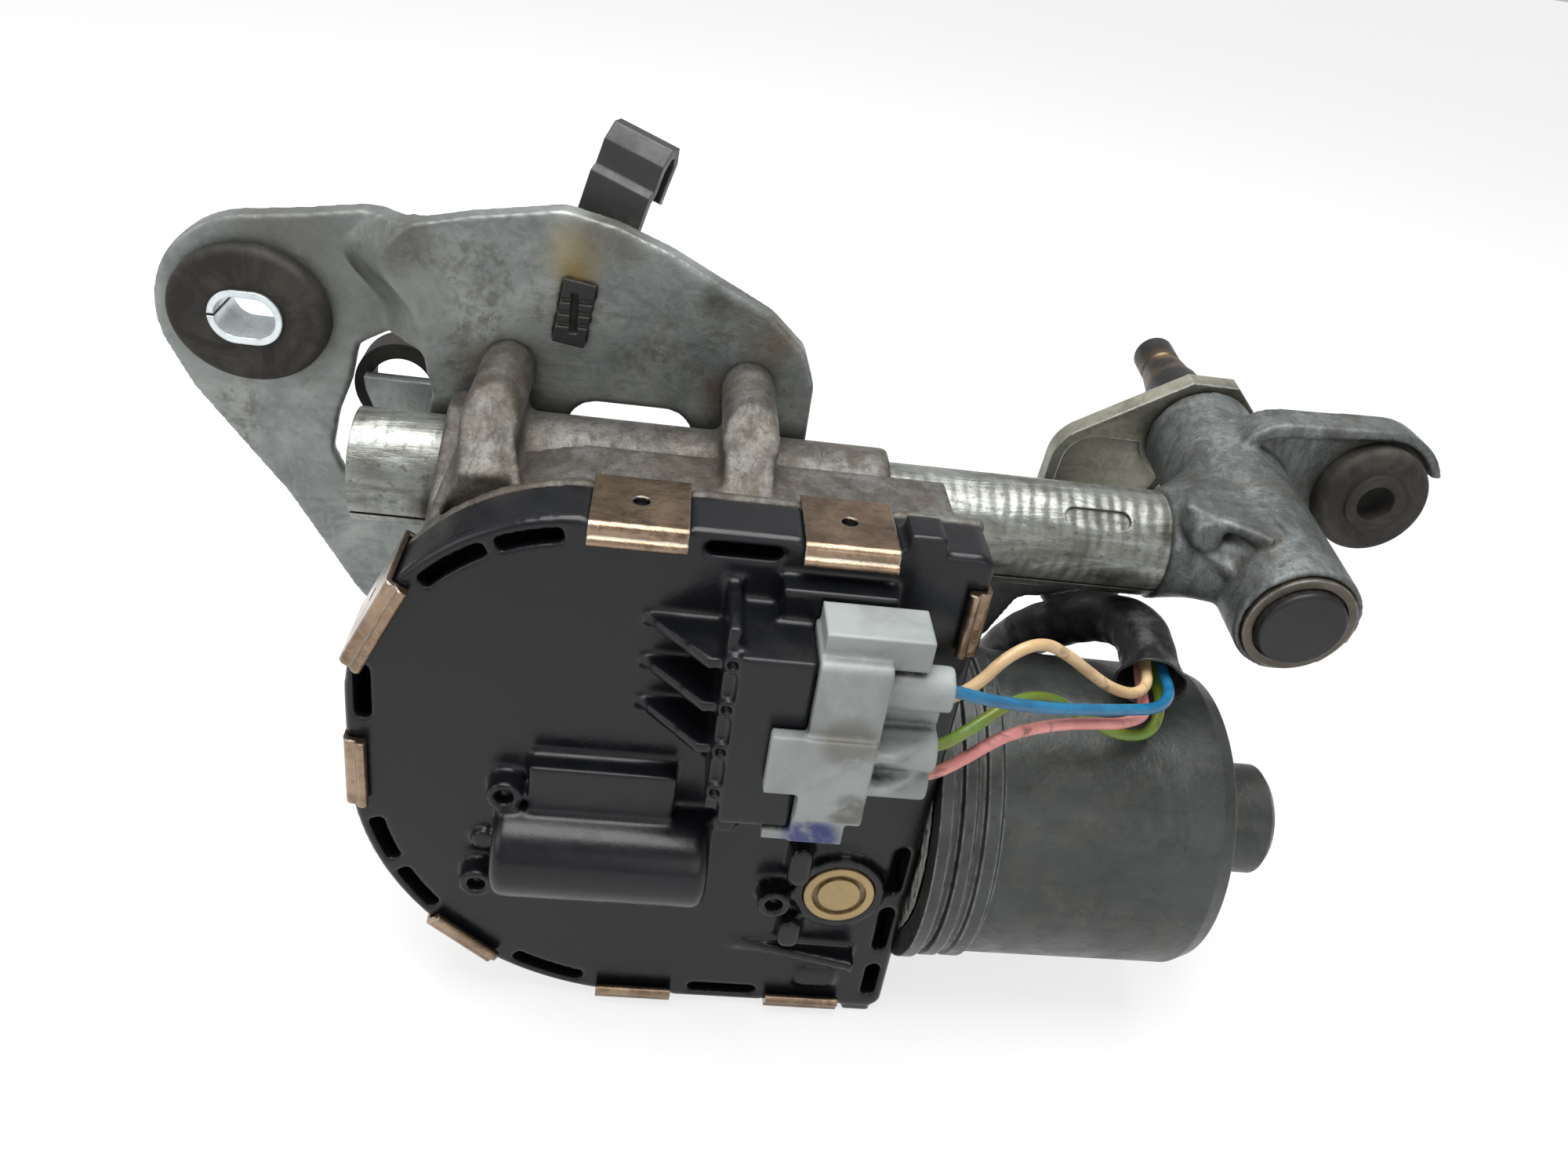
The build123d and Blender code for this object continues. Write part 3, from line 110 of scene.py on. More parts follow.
class Tree:
    """One procedural material, built node by node in the part's own coordinates."""

    def __init__(self, name, metallic=0.0, roughness=0.5, specular=0.5):
        self.mat = bpy.data.materials.new(name)
        self.mat.use_nodes = True
        self.nt = self.mat.node_tree
        self.nt.nodes.clear()
        out = self.add("ShaderNodeOutputMaterial")
        self.bsdf = self.add("ShaderNodeBsdfPrincipled")
        self.bsdf.inputs["Metallic"].default_value = metallic
        self.bsdf.inputs["Roughness"].default_value = roughness
        self.bsdf.inputs["Specular IOR Level"].default_value = specular
        self.nt.links.new(self.bsdf.outputs[0], out.inputs[0])
        self.coord = self.add("ShaderNodeTexCoord").outputs["Object"]
        self.normal = None

    def add(self, kind, **props):
        node = self.nt.nodes.new(kind)
        for key, value in props.items():
            setattr(node, key, value)
        return node

    def put(self, socket, value):
        """Link a socket, or set a constant."""
        if isinstance(value, bpy.types.NodeSocket):
            self.nt.links.new(value, socket)
        else:
            socket.default_value = value

    def set(self, name, value):
        self.put(self.bsdf.inputs[name], value)

    def place(self, stretch):
        """Coordinates scaled along each axis."""
        mapping = self.add("ShaderNodeMapping")
        self.put(mapping.inputs["Vector"], self.coord)
        mapping.inputs["Scale"].default_value = stretch
        return mapping.outputs[0]

    def noise(self, scale, detail=5.0, rough=0.6, distort=0.0, stretch=None):
        node = self.add("ShaderNodeTexNoise")
        node.inputs["Scale"].default_value = scale
        node.inputs["Detail"].default_value = detail
        node.inputs["Roughness"].default_value = rough
        node.inputs["Distortion"].default_value = distort
        self.put(node.inputs["Vector"], self.place(stretch) if stretch else self.coord)
        return node.outputs["Fac"]

    def cells(self, scale, feature="F1", stretch=None):
        node = self.add("ShaderNodeTexVoronoi", feature=feature)
        node.inputs["Scale"].default_value = scale
        self.put(node.inputs["Vector"], self.place(stretch) if stretch else self.coord)
        return node.outputs["Distance"]

    def ramp(self, value, low, high, a=0.0, b=1.0):
        """Value from a to b as the input goes from low to high."""
        node = self.add("ShaderNodeMapRange", clamp=True)
        node.interpolation_type = "SMOOTHSTEP"
        self.put(node.inputs["Value"], value)
        for key, number in zip(("From Min", "From Max", "To Min", "To Max"), (low, high, a, b)):
            node.inputs[key].default_value = number
        return node.outputs[0]

    def math(self, kind, a, b=0.0):
        node = self.add("ShaderNodeMath", operation=kind)
        self.put(node.inputs[0], a)
        self.put(node.inputs[1], b)
        return node.outputs[0]

    def mix(self, factor, a, b, blend="MIX"):
        node = self.add("ShaderNodeMix", data_type="RGBA", blend_type=blend)
        self.put(node.inputs[0], factor)
        self.put(node.inputs[6], a)
        self.put(node.inputs[7], b)
        return node.outputs[2]

    def near(self, point, low, high):
        """1 near a point of the part, 0 beyond it."""
        node = self.add("ShaderNodeVectorMath", operation="DISTANCE")
        self.put(node.inputs[0], self.coord)
        node.inputs[1].default_value = point
        return self.ramp(node.outputs["Value"], low, high, 1.0, 0.0)

    def axis(self, name):
        """One coordinate of the part."""
        split = self.add("ShaderNodeSeparateXYZ")
        self.put(split.inputs[0], self.coord)
        return split.outputs[name]

    def soft_edges(self, radius):
        """Edges rounded in the shading, as the start of the bump chain."""
        node = self.add("ShaderNodeBevel", samples=4)
        node.inputs["Radius"].default_value = radius
        self.normal = node.outputs[0]

    def edges(self, radius, strength=1.0):
        """Mask of the worn edges."""
        bevel = self.add("ShaderNodeBevel", samples=4)
        bevel.inputs["Radius"].default_value = radius
        flat = self.add("ShaderNodeNewGeometry")
        dot = self.add("ShaderNodeVectorMath", operation="DOT_PRODUCT")
        self.put(dot.inputs[0], bevel.outputs[0])
        self.put(dot.inputs[1], flat.outputs["Normal"])
        return self.ramp(dot.outputs["Value"], 0.80, 0.985, strength, 0.0)

    def corners(self, distance, low=0.35, high=0.9):
        """Mask of the inner corners, where dirt stays and shade falls, read from ambient occlusion;
        darkening laid on with it is painted shade as well as dirt.
        """
        node = self.add("ShaderNodeAmbientOcclusion", samples=4, only_local=False)
        node.inputs["Distance"].default_value = distance
        return self.ramp(node.outputs["AO"], low, high, 1.0, 0.0)

    def bump(self, height, strength, distance):
        """Adds one layer of relief to the bump chain."""
        node = self.add("ShaderNodeBump")
        node.inputs["Strength"].default_value = strength
        node.inputs["Distance"].default_value = distance
        self.put(node.inputs["Height"], height)
        if self.normal is not None:
            self.put(node.inputs["Normal"], self.normal)
        self.normal = node.outputs[0]

    def finish(self):
        """Connects the bump chain and gives the material."""
        if self.normal is not None:
            self.set("Normal", self.normal)
        return self.mat


def zinc(name, light, mid, dark, metallic=0.72, rough=(0.34, 0.58), edge=0.6, stain=()):
    """Aged zinc plate: cloudy tone, spangle, grime, specks, bright edges, dirt and painted shade in
    the corners.

    A stain is (place, reach, colour, amount); the same form also lays darker patches and painted
    shade."""
    t = Tree(name, metallic=metallic)
    t.soft_edges(0.0006)
    clouds = t.noise(55, 6, 0.62, 0.6)
    fine = t.noise(420, 6, 0.7)
    long = t.noise(160, 4, 0.6, 0.2, stretch=(0.25, 1, 2.2))
    tone = t.mix(t.ramp(clouds, 0.34, 0.66), linear(*mid), linear(*light))
    tone = t.mix(t.ramp(long, 0.5, 0.72, 0, 0.28), tone, linear(*dark))
    tone = t.mix(t.ramp(fine, 0.55, 0.75, 0, 0.45), tone, linear(*dark))
    spangle = t.noise(170, 3, 0.5, 2.5)
    tone = t.mix(t.ramp(spangle, 0.5, 0.6, 0, 0.30), tone, linear(*light))
    grime = t.math("MULTIPLY", t.ramp(t.noise(34, 6, 0.7, 1.0), 0.52, 0.66),
                   t.ramp(fine, 0.42, 0.58))
    tone = t.mix(t.math("MULTIPLY", grime, 0.5), tone, linear(78, 72, 62))
    # dirt and painted shade: dark brown laid into the occluded inner corners
    dirt = t.math("MULTIPLY", t.corners(0.005), t.ramp(clouds, 0.25, 0.6, 0.5, 1))
    tone = t.mix(t.math("MULTIPLY", dirt, 0.85), tone, linear(44, 40, 34))
    specks = t.ramp(t.cells(260, "F1"), 0.0, 0.16, 0.5, 0.0)
    tone = t.mix(t.math("MULTIPLY", specks, t.ramp(clouds, 0.45, 0.6)), tone, linear(58, 52, 44))
    for point, reach, colour, amount in stain:
        mask = t.math("MULTIPLY", t.near(point, reach * 0.2, reach), t.ramp(clouds, 0.30, 0.52))
        tone = t.mix(t.math("MULTIPLY", mask, amount), tone, linear(*colour))
    if edge:
        worn = t.math("MULTIPLY", t.edges(0.0007, edge), t.ramp(fine, 0.35, 0.6, 0.2, 1))
        tone = t.mix(worn, tone, linear(205, 208, 206))
    t.set("Base Color", tone)
    t.set("Roughness", t.ramp(t.noise(130, 5, 0.7), 0.3, 0.7, *rough))
    t.bump(t.noise(700, 4, 0.7), 0.12, 0.0004)
    t.bump(clouds, 0.25, 0.0012)
    t.bump(t.noise(240, 4, 0.6, 1.0), 0.22, 0.0005)
    return t.finish()


def hammered(name, light, mid, dark):
    """Swaged tube: zinc with dents, lengthwise streaks, swage marks across, and brown dirt with
    painted shade in the corners.
    """
    t = Tree(name, metallic=0.8)
    t.soft_edges(0.0006)
    dents = t.cells(210, "SMOOTH_F1", stretch=(0.8, 1.0, 1.0))
    streaks = t.noise(150, 6, 0.7, 0.8, stretch=(0.22, 1.4, 1.4))
    fine = t.noise(620, 6, 0.75)
    tone = t.mix(t.ramp(streaks, 0.38, 0.62), linear(*mid), linear(*light))
    tone = t.mix(t.ramp(fine, 0.52, 0.7, 0, 0.7), tone, linear(*dark))
    tone = t.mix(t.ramp(dents, 0.45, 0.75, 0, 0.55), tone, linear(*dark))
    # dirt and painted shade: dark brown laid into the occluded inner corners
    dirt = t.math("MULTIPLY", t.corners(0.008), t.ramp(streaks, 0.3, 0.55, 0.4, 1))
    tone = t.mix(t.math("MULTIPLY", dirt, 0.85), tone, linear(52, 44, 34))
    t.set("Base Color", tone)
    t.set("Roughness", t.ramp(fine, 0.3, 0.7, 0.24, 0.46))
    swage = t.math("SINE", t.math("ADD", t.math("MULTIPLY", t.axis("X"), 2300.0),
                                  t.math("MULTIPLY", t.noise(70, 3, 0.6), 9.0)))
    marks = t.math("MULTIPLY", swage, t.ramp(t.noise(40, 3, 0.6), 0.4, 0.55))
    t.bump(marks, 0.15, 0.0004)
    t.bump(dents, 0.5, 0.0009)
    t.bump(streaks, 0.35, 0.0008)
    t.bump(fine, 0.2, 0.0003)
    return t.finish()


def cast(name, light, mid, dark, grime=0.7, rough=(0.42, 0.66), metallic=0.55):
    """Die-cast alloy: grainy skin, cloudy grey, upright streaks, soil, grime and painted shade in
    corners.
    """
    t = Tree(name, metallic=metallic)
    t.soft_edges(0.0011)
    clouds = t.noise(70, 7, 0.65, 0.8)
    grain = t.noise(1100, 5, 0.75)
    blots = t.noise(420, 7, 0.8)
    streaks = t.noise(150, 6, 0.75, 0.4, stretch=(1.8, 1.0, 0.5))
    tone = t.mix(t.ramp(clouds, 0.36, 0.64), linear(*mid), linear(*light))
    tone = t.mix(t.ramp(streaks, 0.42, 0.62, 0, 0.6), tone, linear(*dark))
    tone = t.mix(t.ramp(blots, 0.46, 0.66, 0, 0.5), tone, linear(*dark))
    tone = t.mix(t.ramp(grain, 0.54, 0.66, 0, 0.4), tone, linear(*dark))
    soil = t.math("MULTIPLY", t.ramp(t.noise(48, 6, 0.7, 1.0), 0.46, 0.62),
                  t.ramp(blots, 0.38, 0.6, 0.2, 1))
    tone = t.mix(t.math("MULTIPLY", soil, grime * 0.6), tone, linear(84, 70, 52))
    # grime and painted shade: dark brown laid into the occluded inner corners, scaled by grime
    dirt = t.math("MULTIPLY", t.corners(0.007, 0.3, 0.95), t.ramp(blots, 0.3, 0.55, 0.5, 1))
    tone = t.mix(t.math("MULTIPLY", dirt, grime), tone, linear(62, 54, 44))
    worn = t.math("MULTIPLY", t.edges(0.0009, 0.55), t.ramp(blots, 0.4, 0.6, 0.2, 1))
    tone = t.mix(worn, tone, linear(196, 196, 190))
    t.set("Base Color", tone)
    t.set("Roughness", t.ramp(blots, 0.3, 0.7, *rough))
    t.bump(grain, 0.30, 0.0004)
    t.bump(blots, 0.45, 0.0006)
    t.bump(clouds, 0.25, 0.0012)
    return t.finish()


def moulded(name, tone, second, rough=(0.34, 0.5), grain=0.10, edge=(90, 92, 94), wear=0.35,
            dust=(120, 112, 98), corner_dust_and_shade=0.25, specular=0.5, marks=()):
    """Moulded plastic: fine grain, dull edges, a colour in the corners: dust, and dirt with painted
    shade where that colour is darker than the plastic.

    A mark is (place, reach, colour, amount)."""
    t = Tree(name, specular=specular)
    t.soft_edges(0.0005)
    clouds = t.noise(60, 6, 0.6, 0.5)
    fine = t.noise(800, 4, 0.7)
    colour = t.mix(t.ramp(clouds, 0.35, 0.65), linear(*tone), linear(*second))
    # corner colour laid along the occlusion mask: dust on dark plastics, dirt and painted shade where
    # it is darker than the plastic
    dirt = t.math("MULTIPLY", t.corners(0.003), t.ramp(fine, 0.35, 0.6, 0.3, 1))
    colour = t.mix(t.math("MULTIPLY", dirt, corner_dust_and_shade), colour, linear(*dust))
    for point, reach, paint_colour, amount in marks:
        mask = t.math("MULTIPLY", t.near(point, reach * 0.5, reach), t.ramp(clouds, 0.4, 0.52))
        colour = t.mix(t.math("MULTIPLY", mask, amount), colour, linear(*paint_colour))
    worn = t.math("MULTIPLY", t.edges(0.0005, wear), t.ramp(fine, 0.4, 0.6, 0.2, 1))
    colour = t.mix(worn, colour, linear(*edge))
    t.set("Base Color", colour)
    t.set("Roughness", t.ramp(t.noise(190, 5, 0.7), 0.3, 0.7, *rough))
    t.bump(fine, grain, 0.0003)
    return t.finish()


def rubber(name, tone, dust, amount=0.5, rough=0.72):
    """Aged rubber: dull, dusty in patches and on the edges, small pits."""
    t = Tree(name, roughness=rough, specular=0.35)
    t.soft_edges(0.0008)
    clouds = t.noise(90, 7, 0.7, 0.9)
    fine = t.noise(600, 5, 0.75)
    colour = t.mix(t.ramp(clouds, 0.38, 0.66, 0, amount), linear(*tone), linear(*dust))
    colour = t.mix(t.ramp(fine, 0.58, 0.72, 0, 0.4), colour, linear(*dust))
    colour = t.mix(t.edges(0.0006, 0.25), colour, linear(*dust))
    t.set("Base Color", colour)
    t.bump(fine, 0.25, 0.0004)
    t.bump(clouds, 0.2, 0.0007)
    return t.finish()


def insulation(name, tone, second, dirt, amount=0.5):
    """Wire insulation: satin PVC with streaks and grime in patches."""
    t = Tree(name, specular=0.55)
    patches = t.noise(230, 6, 0.7, 0.8)
    streaks = t.noise(110, 4, 0.6, 0.3, stretch=(0.4, 1.5, 1.5))
    colour = t.mix(t.ramp(streaks, 0.35, 0.65), linear(*tone), linear(*second))
    colour = t.mix(t.ramp(patches, 0.55, 0.70, 0, amount), colour, linear(*dirt))
    t.set("Base Color", colour)
    t.set("Roughness", t.ramp(patches, 0.35, 0.65, 0.26, 0.5))
    t.bump(t.noise(900, 3, 0.6), 0.08, 0.0003)
    return t.finish()


# ---------------------------------------------------------------- cords
wire_blue = insulation("wire blue", (24, 104, 142), (16, 84, 120), (20, 40, 52), 0.5)
wire_beige = insulation("wire beige", (196, 168, 128), (176, 146, 106), (84, 62, 40), 0.8)
wire_green = insulation("wire green", (84, 124, 40), (104, 112, 30), (44, 46, 18), 0.7)
wire_pink = insulation("wire pink", (204, 136, 130), (188, 118, 114), (84, 52, 50), 0.65)


def spline_object(name, points, radius, material):
    """Smooth cord: a NURBS spline of order 3 through the route's control points."""
    curve = bpy.data.curves.new(name, "CURVE")
    curve.dimensions = "3D"
    curve.resolution_u = 10
    curve.bevel_depth = radius
    curve.bevel_resolution = 6
    curve.use_fill_caps = True
    spline = curve.splines.new("NURBS")
    spline.points.add(len(points) - 1)
    for target, point in zip(spline.points, points):
        target.co = (*point, 1.0)
    spline.order_u = 3
    spline.use_endpoint_u = True
    curve.materials.append(material)
    obj = bpy.data.objects.new(name, curve)
    scene.collection.objects.link(obj)
    return obj


def centreline(points):
    """Points of the smooth line that a route's NURBS spline follows."""
    bare = spline_object("route", points, 0.0, None)
    bare.data.bevel_depth = 0.0
    mesh = bpy.data.meshes.new_from_object(bare)
    line = [v.co.copy() for v in mesh.vertices]
    bpy.data.objects.remove(bare)
    bpy.data.meshes.remove(mesh)
    return line


# the sleeve's mouth and the directions in it
mouth = Vector((0.1806, -0.0460, -0.0380))
inward = (Vector((0.1826, -0.0346, -0.0346)) - mouth).normalized()
side = (Vector((1, 0, 0)) - inward * inward.x).normalized()
under = inward.cross(side)


def in_mouth(across, down, depth):
    """Point inside the sleeve's mouth."""
    return mouth + side * across + under * down + inward * depth


# per wire: material, place in the mouth in millimetres (across, down), and the route
routes = {
    "wire_blue": (wire_blue, (1.6, -1.6), [
        (0.1255, -0.0760, -0.0218), (0.1320, -0.0760, -0.0218), (0.1380, -0.0754, -0.0236),
        (0.1475, -0.0715, -0.0272), (0.1585, -0.0664, -0.0308), (0.1695, -0.0612, -0.0338),
        (0.1784, -0.0572, -0.0358), (0.1828, -0.0510, -0.0363)]),
    "wire_beige": (wire_beige, (-1.6, -1.6), [
        (0.1255, -0.0700, -0.0296), (0.1320, -0.0700, -0.0296), (0.1382, -0.0698, -0.0252),
        (0.1430, -0.0676, -0.0196), (0.1498, -0.0638, -0.0186), (0.1566, -0.0600, -0.0236),
        (0.1626, -0.0572, -0.0288), (0.1684, -0.0554, -0.0332), (0.1742, -0.0539, -0.0355),
        (0.1783, -0.0499, -0.0357)]),
    "wire_green": (wire_green, (1.6, 1.6), [
        (0.1255, -0.0750, -0.0356), (0.1320, -0.0750, -0.0356), (0.1380, -0.0736, -0.0316),
        (0.1460, -0.0686, -0.0280), (0.1551, -0.0616, -0.0318), (0.1640, -0.0570, -0.0390),
        (0.1722, -0.0572, -0.0430), (0.1802, -0.0546, -0.0438), (0.1830, -0.0486, -0.0410)]),
    "wire_pink": (wire_pink, (-1.6, 1.6), [
        (0.1255, -0.0740, -0.0428), (0.1320, -0.0740, -0.0428), (0.1376, -0.0739, -0.0386),
        (0.1446, -0.0722, -0.0333), (0.1536, -0.0682, -0.0334), (0.1625, -0.0640, -0.0354),
        (0.1704, -0.0603, -0.0378), (0.1774, -0.0550, -0.0394), (0.1789, -0.0486, -0.0402)])}
for name, (material, (across, down), points) in routes.items():
    points = points + [in_mouth(across / 1000, down / 1000, depth) for depth in wire_depth]
    wire = spline_object(f"{name}_insulation", points, wire_diameter / 2, material)
    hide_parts(name)
    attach(wire, "frame")

sleeve_route = [
    (0.1806, -0.0460, -0.0380), (0.1826, -0.0346, -0.0346), (0.1796, -0.0236, -0.0372),
    (0.1730, -0.0134, -0.0458), (0.1666, -0.0046, -0.0572), (0.1634, 0.0016, -0.0706),
    (0.1634, 0.0016, -0.0960)]
sleeve_line = centreline(sleeve_route)


def sleeve_rings():
    """Points along the sleeve: place, two directions across it, and the length up to there."""
    dense = []
    for a, b in zip(sleeve_line, sleeve_line[1:]):
        for k in range(3):
            dense.append(a.lerp(b, k / 3))
    dense.append(sleeve_line[-1])
    rings = []
    travel = 0.0
    previous = dense[0]
    across = side.copy()
    for index, point in enumerate(dense):
        travel += (point - previous).length
        previous = point
        ahead = dense[min(index + 1, len(dense) - 1)]
        behind = dense[max(index - 1, 0)]
        along = (ahead - behind).normalized()
        across = (across - along * across.dot(along)).normalized()
        rings.append((point, across.copy(), along.cross(across), travel))
    return rings


def sleeve_radius(angle, s, waves):
    """Outer radius at length s: flared at the mouth, with shallow wrinkles."""
    flare = max(0.0, 1 - s / flare_length)
    r = sleeve_diameter / 2 + flare_height * flare ** 2
    for phase, amount, lobes in waves:
        r += 0.00012 * amount * sin(lobes * angle + phase + s * 190 * amount)
    r += 0.00006 * sin(s * 2 * pi / 0.0061 + 1.2 * sin(angle + 1)) * min(1, s / 0.006)
    return r + 0.00022 * flare * sin(3 * angle + 1.0) * sin(5 * angle)


def sleeve_mesh():
    """Wrinkled tube around the smooth line, with an open flared mouth."""
    rng = random.Random(7)
    waves = [(rng.uniform(0, 2 * pi), rng.uniform(0.6, 1.4), rng.randint(2, 4)) for _ in range(4)]
    count = 40
    bm = bmesh.new()
    outer, inner = [], []
    for point, across, down, s in sleeve_rings():
        outer.append([])
        inner.append([])
        for k in range(count):
            angle = 2 * pi * k / count
            spoke = across * cos(angle) + down * sin(angle)
            r = sleeve_radius(angle, s, waves)
            outer[-1].append(bm.verts.new(point + spoke * r))
            inner[-1].append(bm.verts.new(point + spoke * (r - sleeve_wall)))
    for shell, flip in ((outer, False), (inner, True)):
        for a, b in zip(shell, shell[1:]):
            for k in range(count):
                quad = (a[k], a[(k + 1) % count], b[(k + 1) % count], b[k])
                bm.faces.new(reversed(quad) if flip else quad)
    for k in range(count):
        n = (k + 1) % count
        bm.faces.new((outer[0][n], outer[0][k], inner[0][k], inner[0][n]))
        bm.faces.new((outer[-1][k], outer[-1][n], inner[-1][n], inner[-1][k]))
    bmesh.ops.recalc_face_normals(bm, faces=bm.faces)
    mesh = bpy.data.meshes.new("sleeve_skin")
    bm.to_mesh(mesh)
    bm.free()
    for polygon in mesh.polygons:
        polygon.use_smooth = True
    return mesh


def sleeve_material():
    """Black vinyl, scuffed in patches."""
    t = Tree("sleeve vinyl", roughness=0.42, specular=0.5)
    patches = t.noise(160, 6, 0.7, 1.0)
    colour = t.mix(t.ramp(patches, 0.5, 0.72, 0, 0.6), linear(17, 17, 18), linear(58, 56, 52))
    t.set("Base Color", colour)
    t.set("Roughness", t.ramp(patches, 0.35, 0.65, 0.30, 0.6))
    t.bump(t.noise(340, 5, 0.7, 1.5), 0.35, 0.0006)
    return t.finish()


sleeve = bpy.data.objects.new("sleeve_skin", sleeve_mesh())
scene.collection.objects.link(sleeve)
sleeve.data.materials.append(sleeve_material())
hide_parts("cable_sleeve")
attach(sleeve, "frame")


def fold_shift(x, z):
    """How far a point of the sheet moves along x, so that the fold swings past the bush."""
    swing = fold_swing * exp(-((z - fold_height) / fold_spread) ** 2)
    if x < fold_left:
        return swing * min(1.0, max(0.0, (x - bush_edge) / (fold_left - bush_edge)))
    return swing * min(1.0, max(0.0, (fade_end - x) / (fade_end - fade_start)))


def bend_sheet(mesh):
    """Swings the bracket's fold to the left and closes the sheet around the clip's foot."""
    for vertex in mesh.vertices:
        vertex.co.x += fold_shift(vertex.co.x, vertex.co.z)
        to_foot = Vector((clip_foot_x - vertex.co.x, 0, clip_foot_z - vertex.co.z))
        if to_foot.length < foot_reach:
            vertex.co += to_foot.normalized() * foot_closing


def softened(node, voxel, passes):
    """Copy of a CAD piece with the rounded edges of a casting, moulding or pressed sheet."""
    source = bpy.data.objects[node]
    draft = bpy.data.objects.new(f"{node}_draft", source.data.copy())
    draft.matrix_world = source.matrix_world.copy()
    scene.collection.objects.link(draft)
    skin = draft.modifiers.new("skin", "REMESH")
    skin.mode = "VOXEL"
    skin.voxel_size = voxel
    soft = draft.modifiers.new("soft", "SMOOTH")
    soft.factor = 0.5
    soft.iterations = passes
    bpy.context.view_layer.update()
    mesh = bpy.data.meshes.new_from_object(
        draft.evaluated_get(bpy.context.evaluated_depsgraph_get()))
    piece = bpy.data.objects.new(f"{node}_skin", mesh)
    piece.matrix_world = draft.matrix_world.copy()
    bpy.data.objects.remove(draft)
    scene.collection.objects.link(piece)
    for polygon in mesh.polygons:
        polygon.use_smooth = True
    if node == "bracket_plate":
        bend_sheet(mesh)
    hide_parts(node)
    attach(piece, "frame")
    return piece


# per node: voxel size in metres and passes of smoothing
softening = {
    "gear_housing": (0.0008, 4), "bearing_housing": (0.0006, 3), "bracket_plate": (0.0007, 3),
    "electronics_cover": (0.0006, 2), "connector_plug": (0.0004, 2)}
skins = {node: softened(node, voxel, passes) for node, (voxel, passes) in softening.items()}

# ---------------------------------------------------------------- materials of the CAD nodes
bracket = zinc("bracket zinc", (146, 150, 147), (116, 121, 119), (84, 86, 82), stain=(
    ((0.0615, plate_y, 0.0205), 0.0085, (146, 136, 100), 0.75),
    ((0.0625, plate_y, 0.0170), 0.0050, (126, 108, 70), 0.8),
    # two broad grey patches darken the whole lobe
    ((0.0180, lobe_y, 0.0060), 0.030, (96, 98, 94), 0.75),
    ((0.0060, lobe_y, 0.0190), 0.016, (92, 92, 88), 0.7),
    ((0.1010, plate_y, 0.0080), 0.007, (118, 100, 70), 0.7),
    ((0.0900, plate_y, 0.0150), 0.006, (44, 42, 38), 0.8),
    ((0.0680, plate_y, 0.0250), 0.010, (84, 78, 66), 0.6),
    ((0.0980, plate_y, 0.0150), 0.014, (86, 84, 78), 0.7),
    # painted shade: a darker patch on the fold's step between the lobe and the main plane
    ((0.0300, -0.0050, 0.0200), 0.010, (70, 66, 58), 0.6),
    ((0.0930, plate_y, -0.0040), 0.008, (96, 72, 48), 0.6),
    ((0.0440, plate_y, -0.0040), 0.008, (86, 74, 58), 0.6)))
tube = hammered("tube zinc", (146, 149, 144), (112, 114, 108), (58, 54, 45))
lever = zinc("lever zinc", (152, 151, 137), (124, 123, 110), (74, 71, 62), edge=0.9)
fastener = zinc("fastener zinc", (156, 158, 158), (130, 132, 132), (86, 86, 84), edge=0.5)
bush_sleeve = zinc("sleeve zinc", (222, 230, 232), (200, 210, 212), (140, 146, 146),
                   metallic=0.85, rough=(0.2, 0.36), edge=0.5)
can = zinc("can zinc", (64, 67, 65), (50, 53, 51), (32, 33, 31), metallic=0.45,
           rough=(0.32, 0.5), edge=0.6)
casting = cast("gear casting", (116, 115, 111), (92, 90, 86), (54, 49, 42), grime=0.8,
               rough=(0.34, 0.58), metallic=0.7)
bearing_cast = cast("bearing casting", (120, 125, 125), (94, 99, 99), (58, 60, 58),
                    grime=0.6, rough=(0.3, 0.5), metallic=0.7)
cover = moulded("cover plastic", (12, 13, 16), (15, 16, 20), rough=(0.20, 0.32), wear=0.3,
                edge=(60, 64, 70), dust=(60, 62, 64), corner_dust_and_shade=0.05, specular=0.34)
# dark corner colour at full amount: dirt and painted shade in the plug's corners
plug = moulded("plug plastic", (134, 139, 138), (116, 120, 118), rough=(0.38, 0.55), wear=0.3,
               edge=(188, 192, 190), dust=(44, 40, 34), corner_dust_and_shade=1.0, marks=(
                   ((0.1130, -0.0800, -0.0530), 0.0062, (20, 34, 96), 1.0),
                   ((0.1180, -0.0820, -0.0440), 0.0050, (62, 54, 44), 0.7),
                   ((0.1160, -0.0820, -0.0300), 0.0060, (84, 78, 68), 0.6)))
black = moulded("black plastic", (22, 22, 24), (28, 28, 30))
# dark brown corner colour: dirt and painted shade in the disc's corners
tan_disc = moulded("disc plastic", (166, 142, 94), (146, 122, 78), edge=(186, 166, 120),
                   dust=(74, 54, 30), corner_dust_and_shade=0.9)
harness_tan = moulded("harness clip plastic", (26, 27, 28), (34, 34, 34), rough=(0.36, 0.55),
                      edge=(96, 94, 90), corner_dust_and_shade=0.3)
# the default corner colour is darker than this plastic: dirt and painted shade in its corners
natural = moulded("gear plastic", (214, 208, 190), (202, 196, 178))
board = moulded("board", (24, 84, 44), (20, 72, 38))
dark_steel = zinc("dark steel", (66, 66, 68), (48, 48, 50), (34, 33, 33), metallic=0.7,
                  rough=(0.34, 0.5), edge=0.4)
rusty = zinc("rusty steel", (98, 92, 82), (66, 60, 52), (40, 34, 29), metallic=0.7,
             rough=(0.36, 0.56), edge=0.6)
spindle_steel = zinc("spindle steel", (58, 57, 56), (42, 41, 41), (30, 29, 28), metallic=0.7,
                     rough=(0.32, 0.48), edge=0.35, stain=(
                         ((0.2050, 0.0480, -0.0111), 0.0105, (140, 112, 72), 0.95),
                         ((0.2050, 0.0560, -0.0103), 0.0070, (30, 29, 28), 1.0)))
cap_black = moulded("end cap black", (17, 17, 18), (24, 24, 25), rough=(0.34, 0.5),
                    specular=0.35)
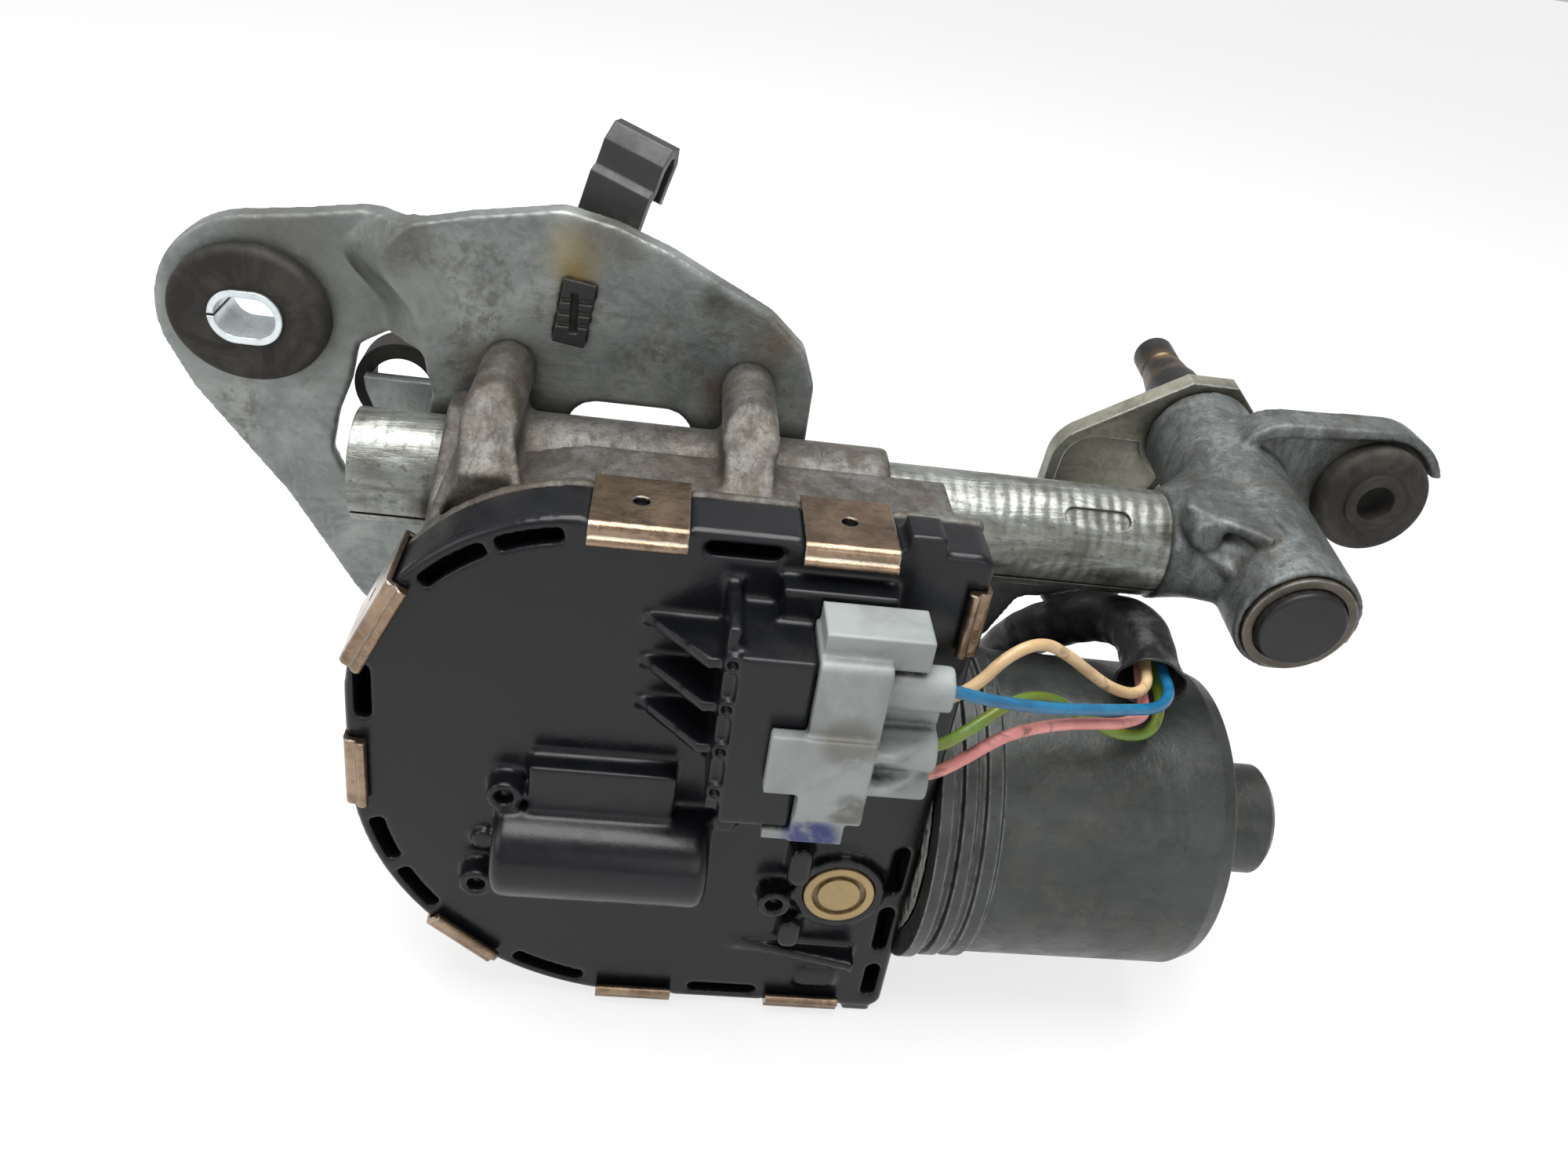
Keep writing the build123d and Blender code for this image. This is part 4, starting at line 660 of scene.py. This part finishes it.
bush = rubber("bush rubber", (30, 28, 26), (72, 67, 60))
buffer_rubber = rubber("buffer rubber", (28, 27, 26), (60, 57, 52))
clip_metal = zinc("clip metal", (160, 138, 116), (116, 96, 80), (58, 47, 39), metallic=0.95,
                  rough=(0.13, 0.26), edge=0.6)
bronze = zinc("bearing bronze", (176, 138, 84), (152, 116, 66), (96, 72, 42))
copper = zinc("copper", (196, 124, 84), (176, 104, 66), (110, 62, 40))
ferrite = cast("ferrite", (60, 60, 60), (48, 48, 48), (36, 36, 36), metallic=0.1)
bundle_wrap = rubber("bundle wrap", (22, 22, 22), (60, 56, 52), 0.3)

by_slot = {
    "bracket_zinc": bracket, "tube_zinc": tube, "cast_alloy": casting, "cover_black": cover,
    "disc_tan": tan_disc, "board_green": board, "can_zinc": can, "ferrite": ferrite,
    "inner_plastic": black, "carbon": ferrite, "bearing_bronze": bronze,
    "dark_steel": dark_steel, "copper": copper, "bush_rubber": bush,
    "sleeve_steel": bush_sleeve, "clip_bronze": clip_metal, "harness_clip_tan": harness_tan,
    "plug_grey": plug, "sleeve_black": bundle_wrap, "fastener_zinc": fastener,
    "gear_plastic": natural, "lever_zinc": lever, "wire_blue": wire_blue,
    "wire_beige": wire_beige, "wire_green": wire_green, "wire_pink": wire_pink}
special = {"bearing_housing": bearing_cast, "end_cap": cap_black, "buffer_ring": buffer_rubber,
           "end_ring": rusty, "wiper_spindle": spindle_steel}
for entry in frame["record"]["subparts"]:
    node = bpy.data.objects[entry["node"]]
    material = special.get(entry["node"], by_slot[entry["material_slot"]])
    if not node.material_slots:
        node.data.materials.append(material)
    for slot in node.material_slots:
        slot.material = material
    if entry["node"] in skins:
        skins[entry["node"]].data.materials.clear()
        skins[entry["node"]].data.materials.append(material)

# ---------------------------------------------------------------- floor and light
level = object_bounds()[0][2] - floor_drop
corners = [(x * floor_half, y * floor_half, level) for x, y in ((-1, -1), (1, -1), (1, 1), (-1, 1))]
floor_mesh = bpy.data.meshes.new("floor")
floor_mesh.from_pydata(corners, [], [(0, 1, 2, 3)])
floor = bpy.data.objects.new("floor", floor_mesh)
scene.collection.objects.link(floor)
paint = Tree("floor paint", roughness=0.9, specular=0.1)
paint.set("Emission Color", linear(255, 255, 255))
paint.set("Emission Strength", 0.75)
paint.set("Base Color", paint.mix(paint.noise(3), linear(138, 138, 138), linear(134, 134, 134)))
floor_mesh.materials.append(paint.finish())

world = bpy.data.worlds.new("studio")
scene.world = world
world.use_nodes = True
world.node_tree.nodes["Background"].inputs[0].default_value = (1.0, 1.0, 1.0, 1.0)
world.node_tree.nodes["Background"].inputs[1].default_value = 0.50


def softbox(name, place, aim, size, power):
    """Rectangular lamp, with its size in metres and its power in watts."""
    data = bpy.data.lights.new(name, "AREA")
    data.shape = "RECTANGLE"
    data.size, data.size_y = size
    data.energy = power
    lamp = bpy.data.objects.new(name, data)
    lamp.location = place
    direction = Vector(aim) - Vector(place)
    lamp.rotation_euler = direction.to_track_quat("-Z", "Y").to_euler()
    scene.collection.objects.link(lamp)


softbox("top_light", (0.06, -0.02, 0.80), (0.1, -0.03, -0.04), (0.9, 0.7), 14.0)
softbox("left_light", (-0.6, -0.35, 0.35), (0.08, -0.03, -0.05), (0.5, 0.5), 1.6)
softbox("front_light", (0.35, -0.75, 0.25), (0.1, -0.03, -0.05), (0.5, 0.4), 0.9)

scene.view_settings.view_transform = "Standard"
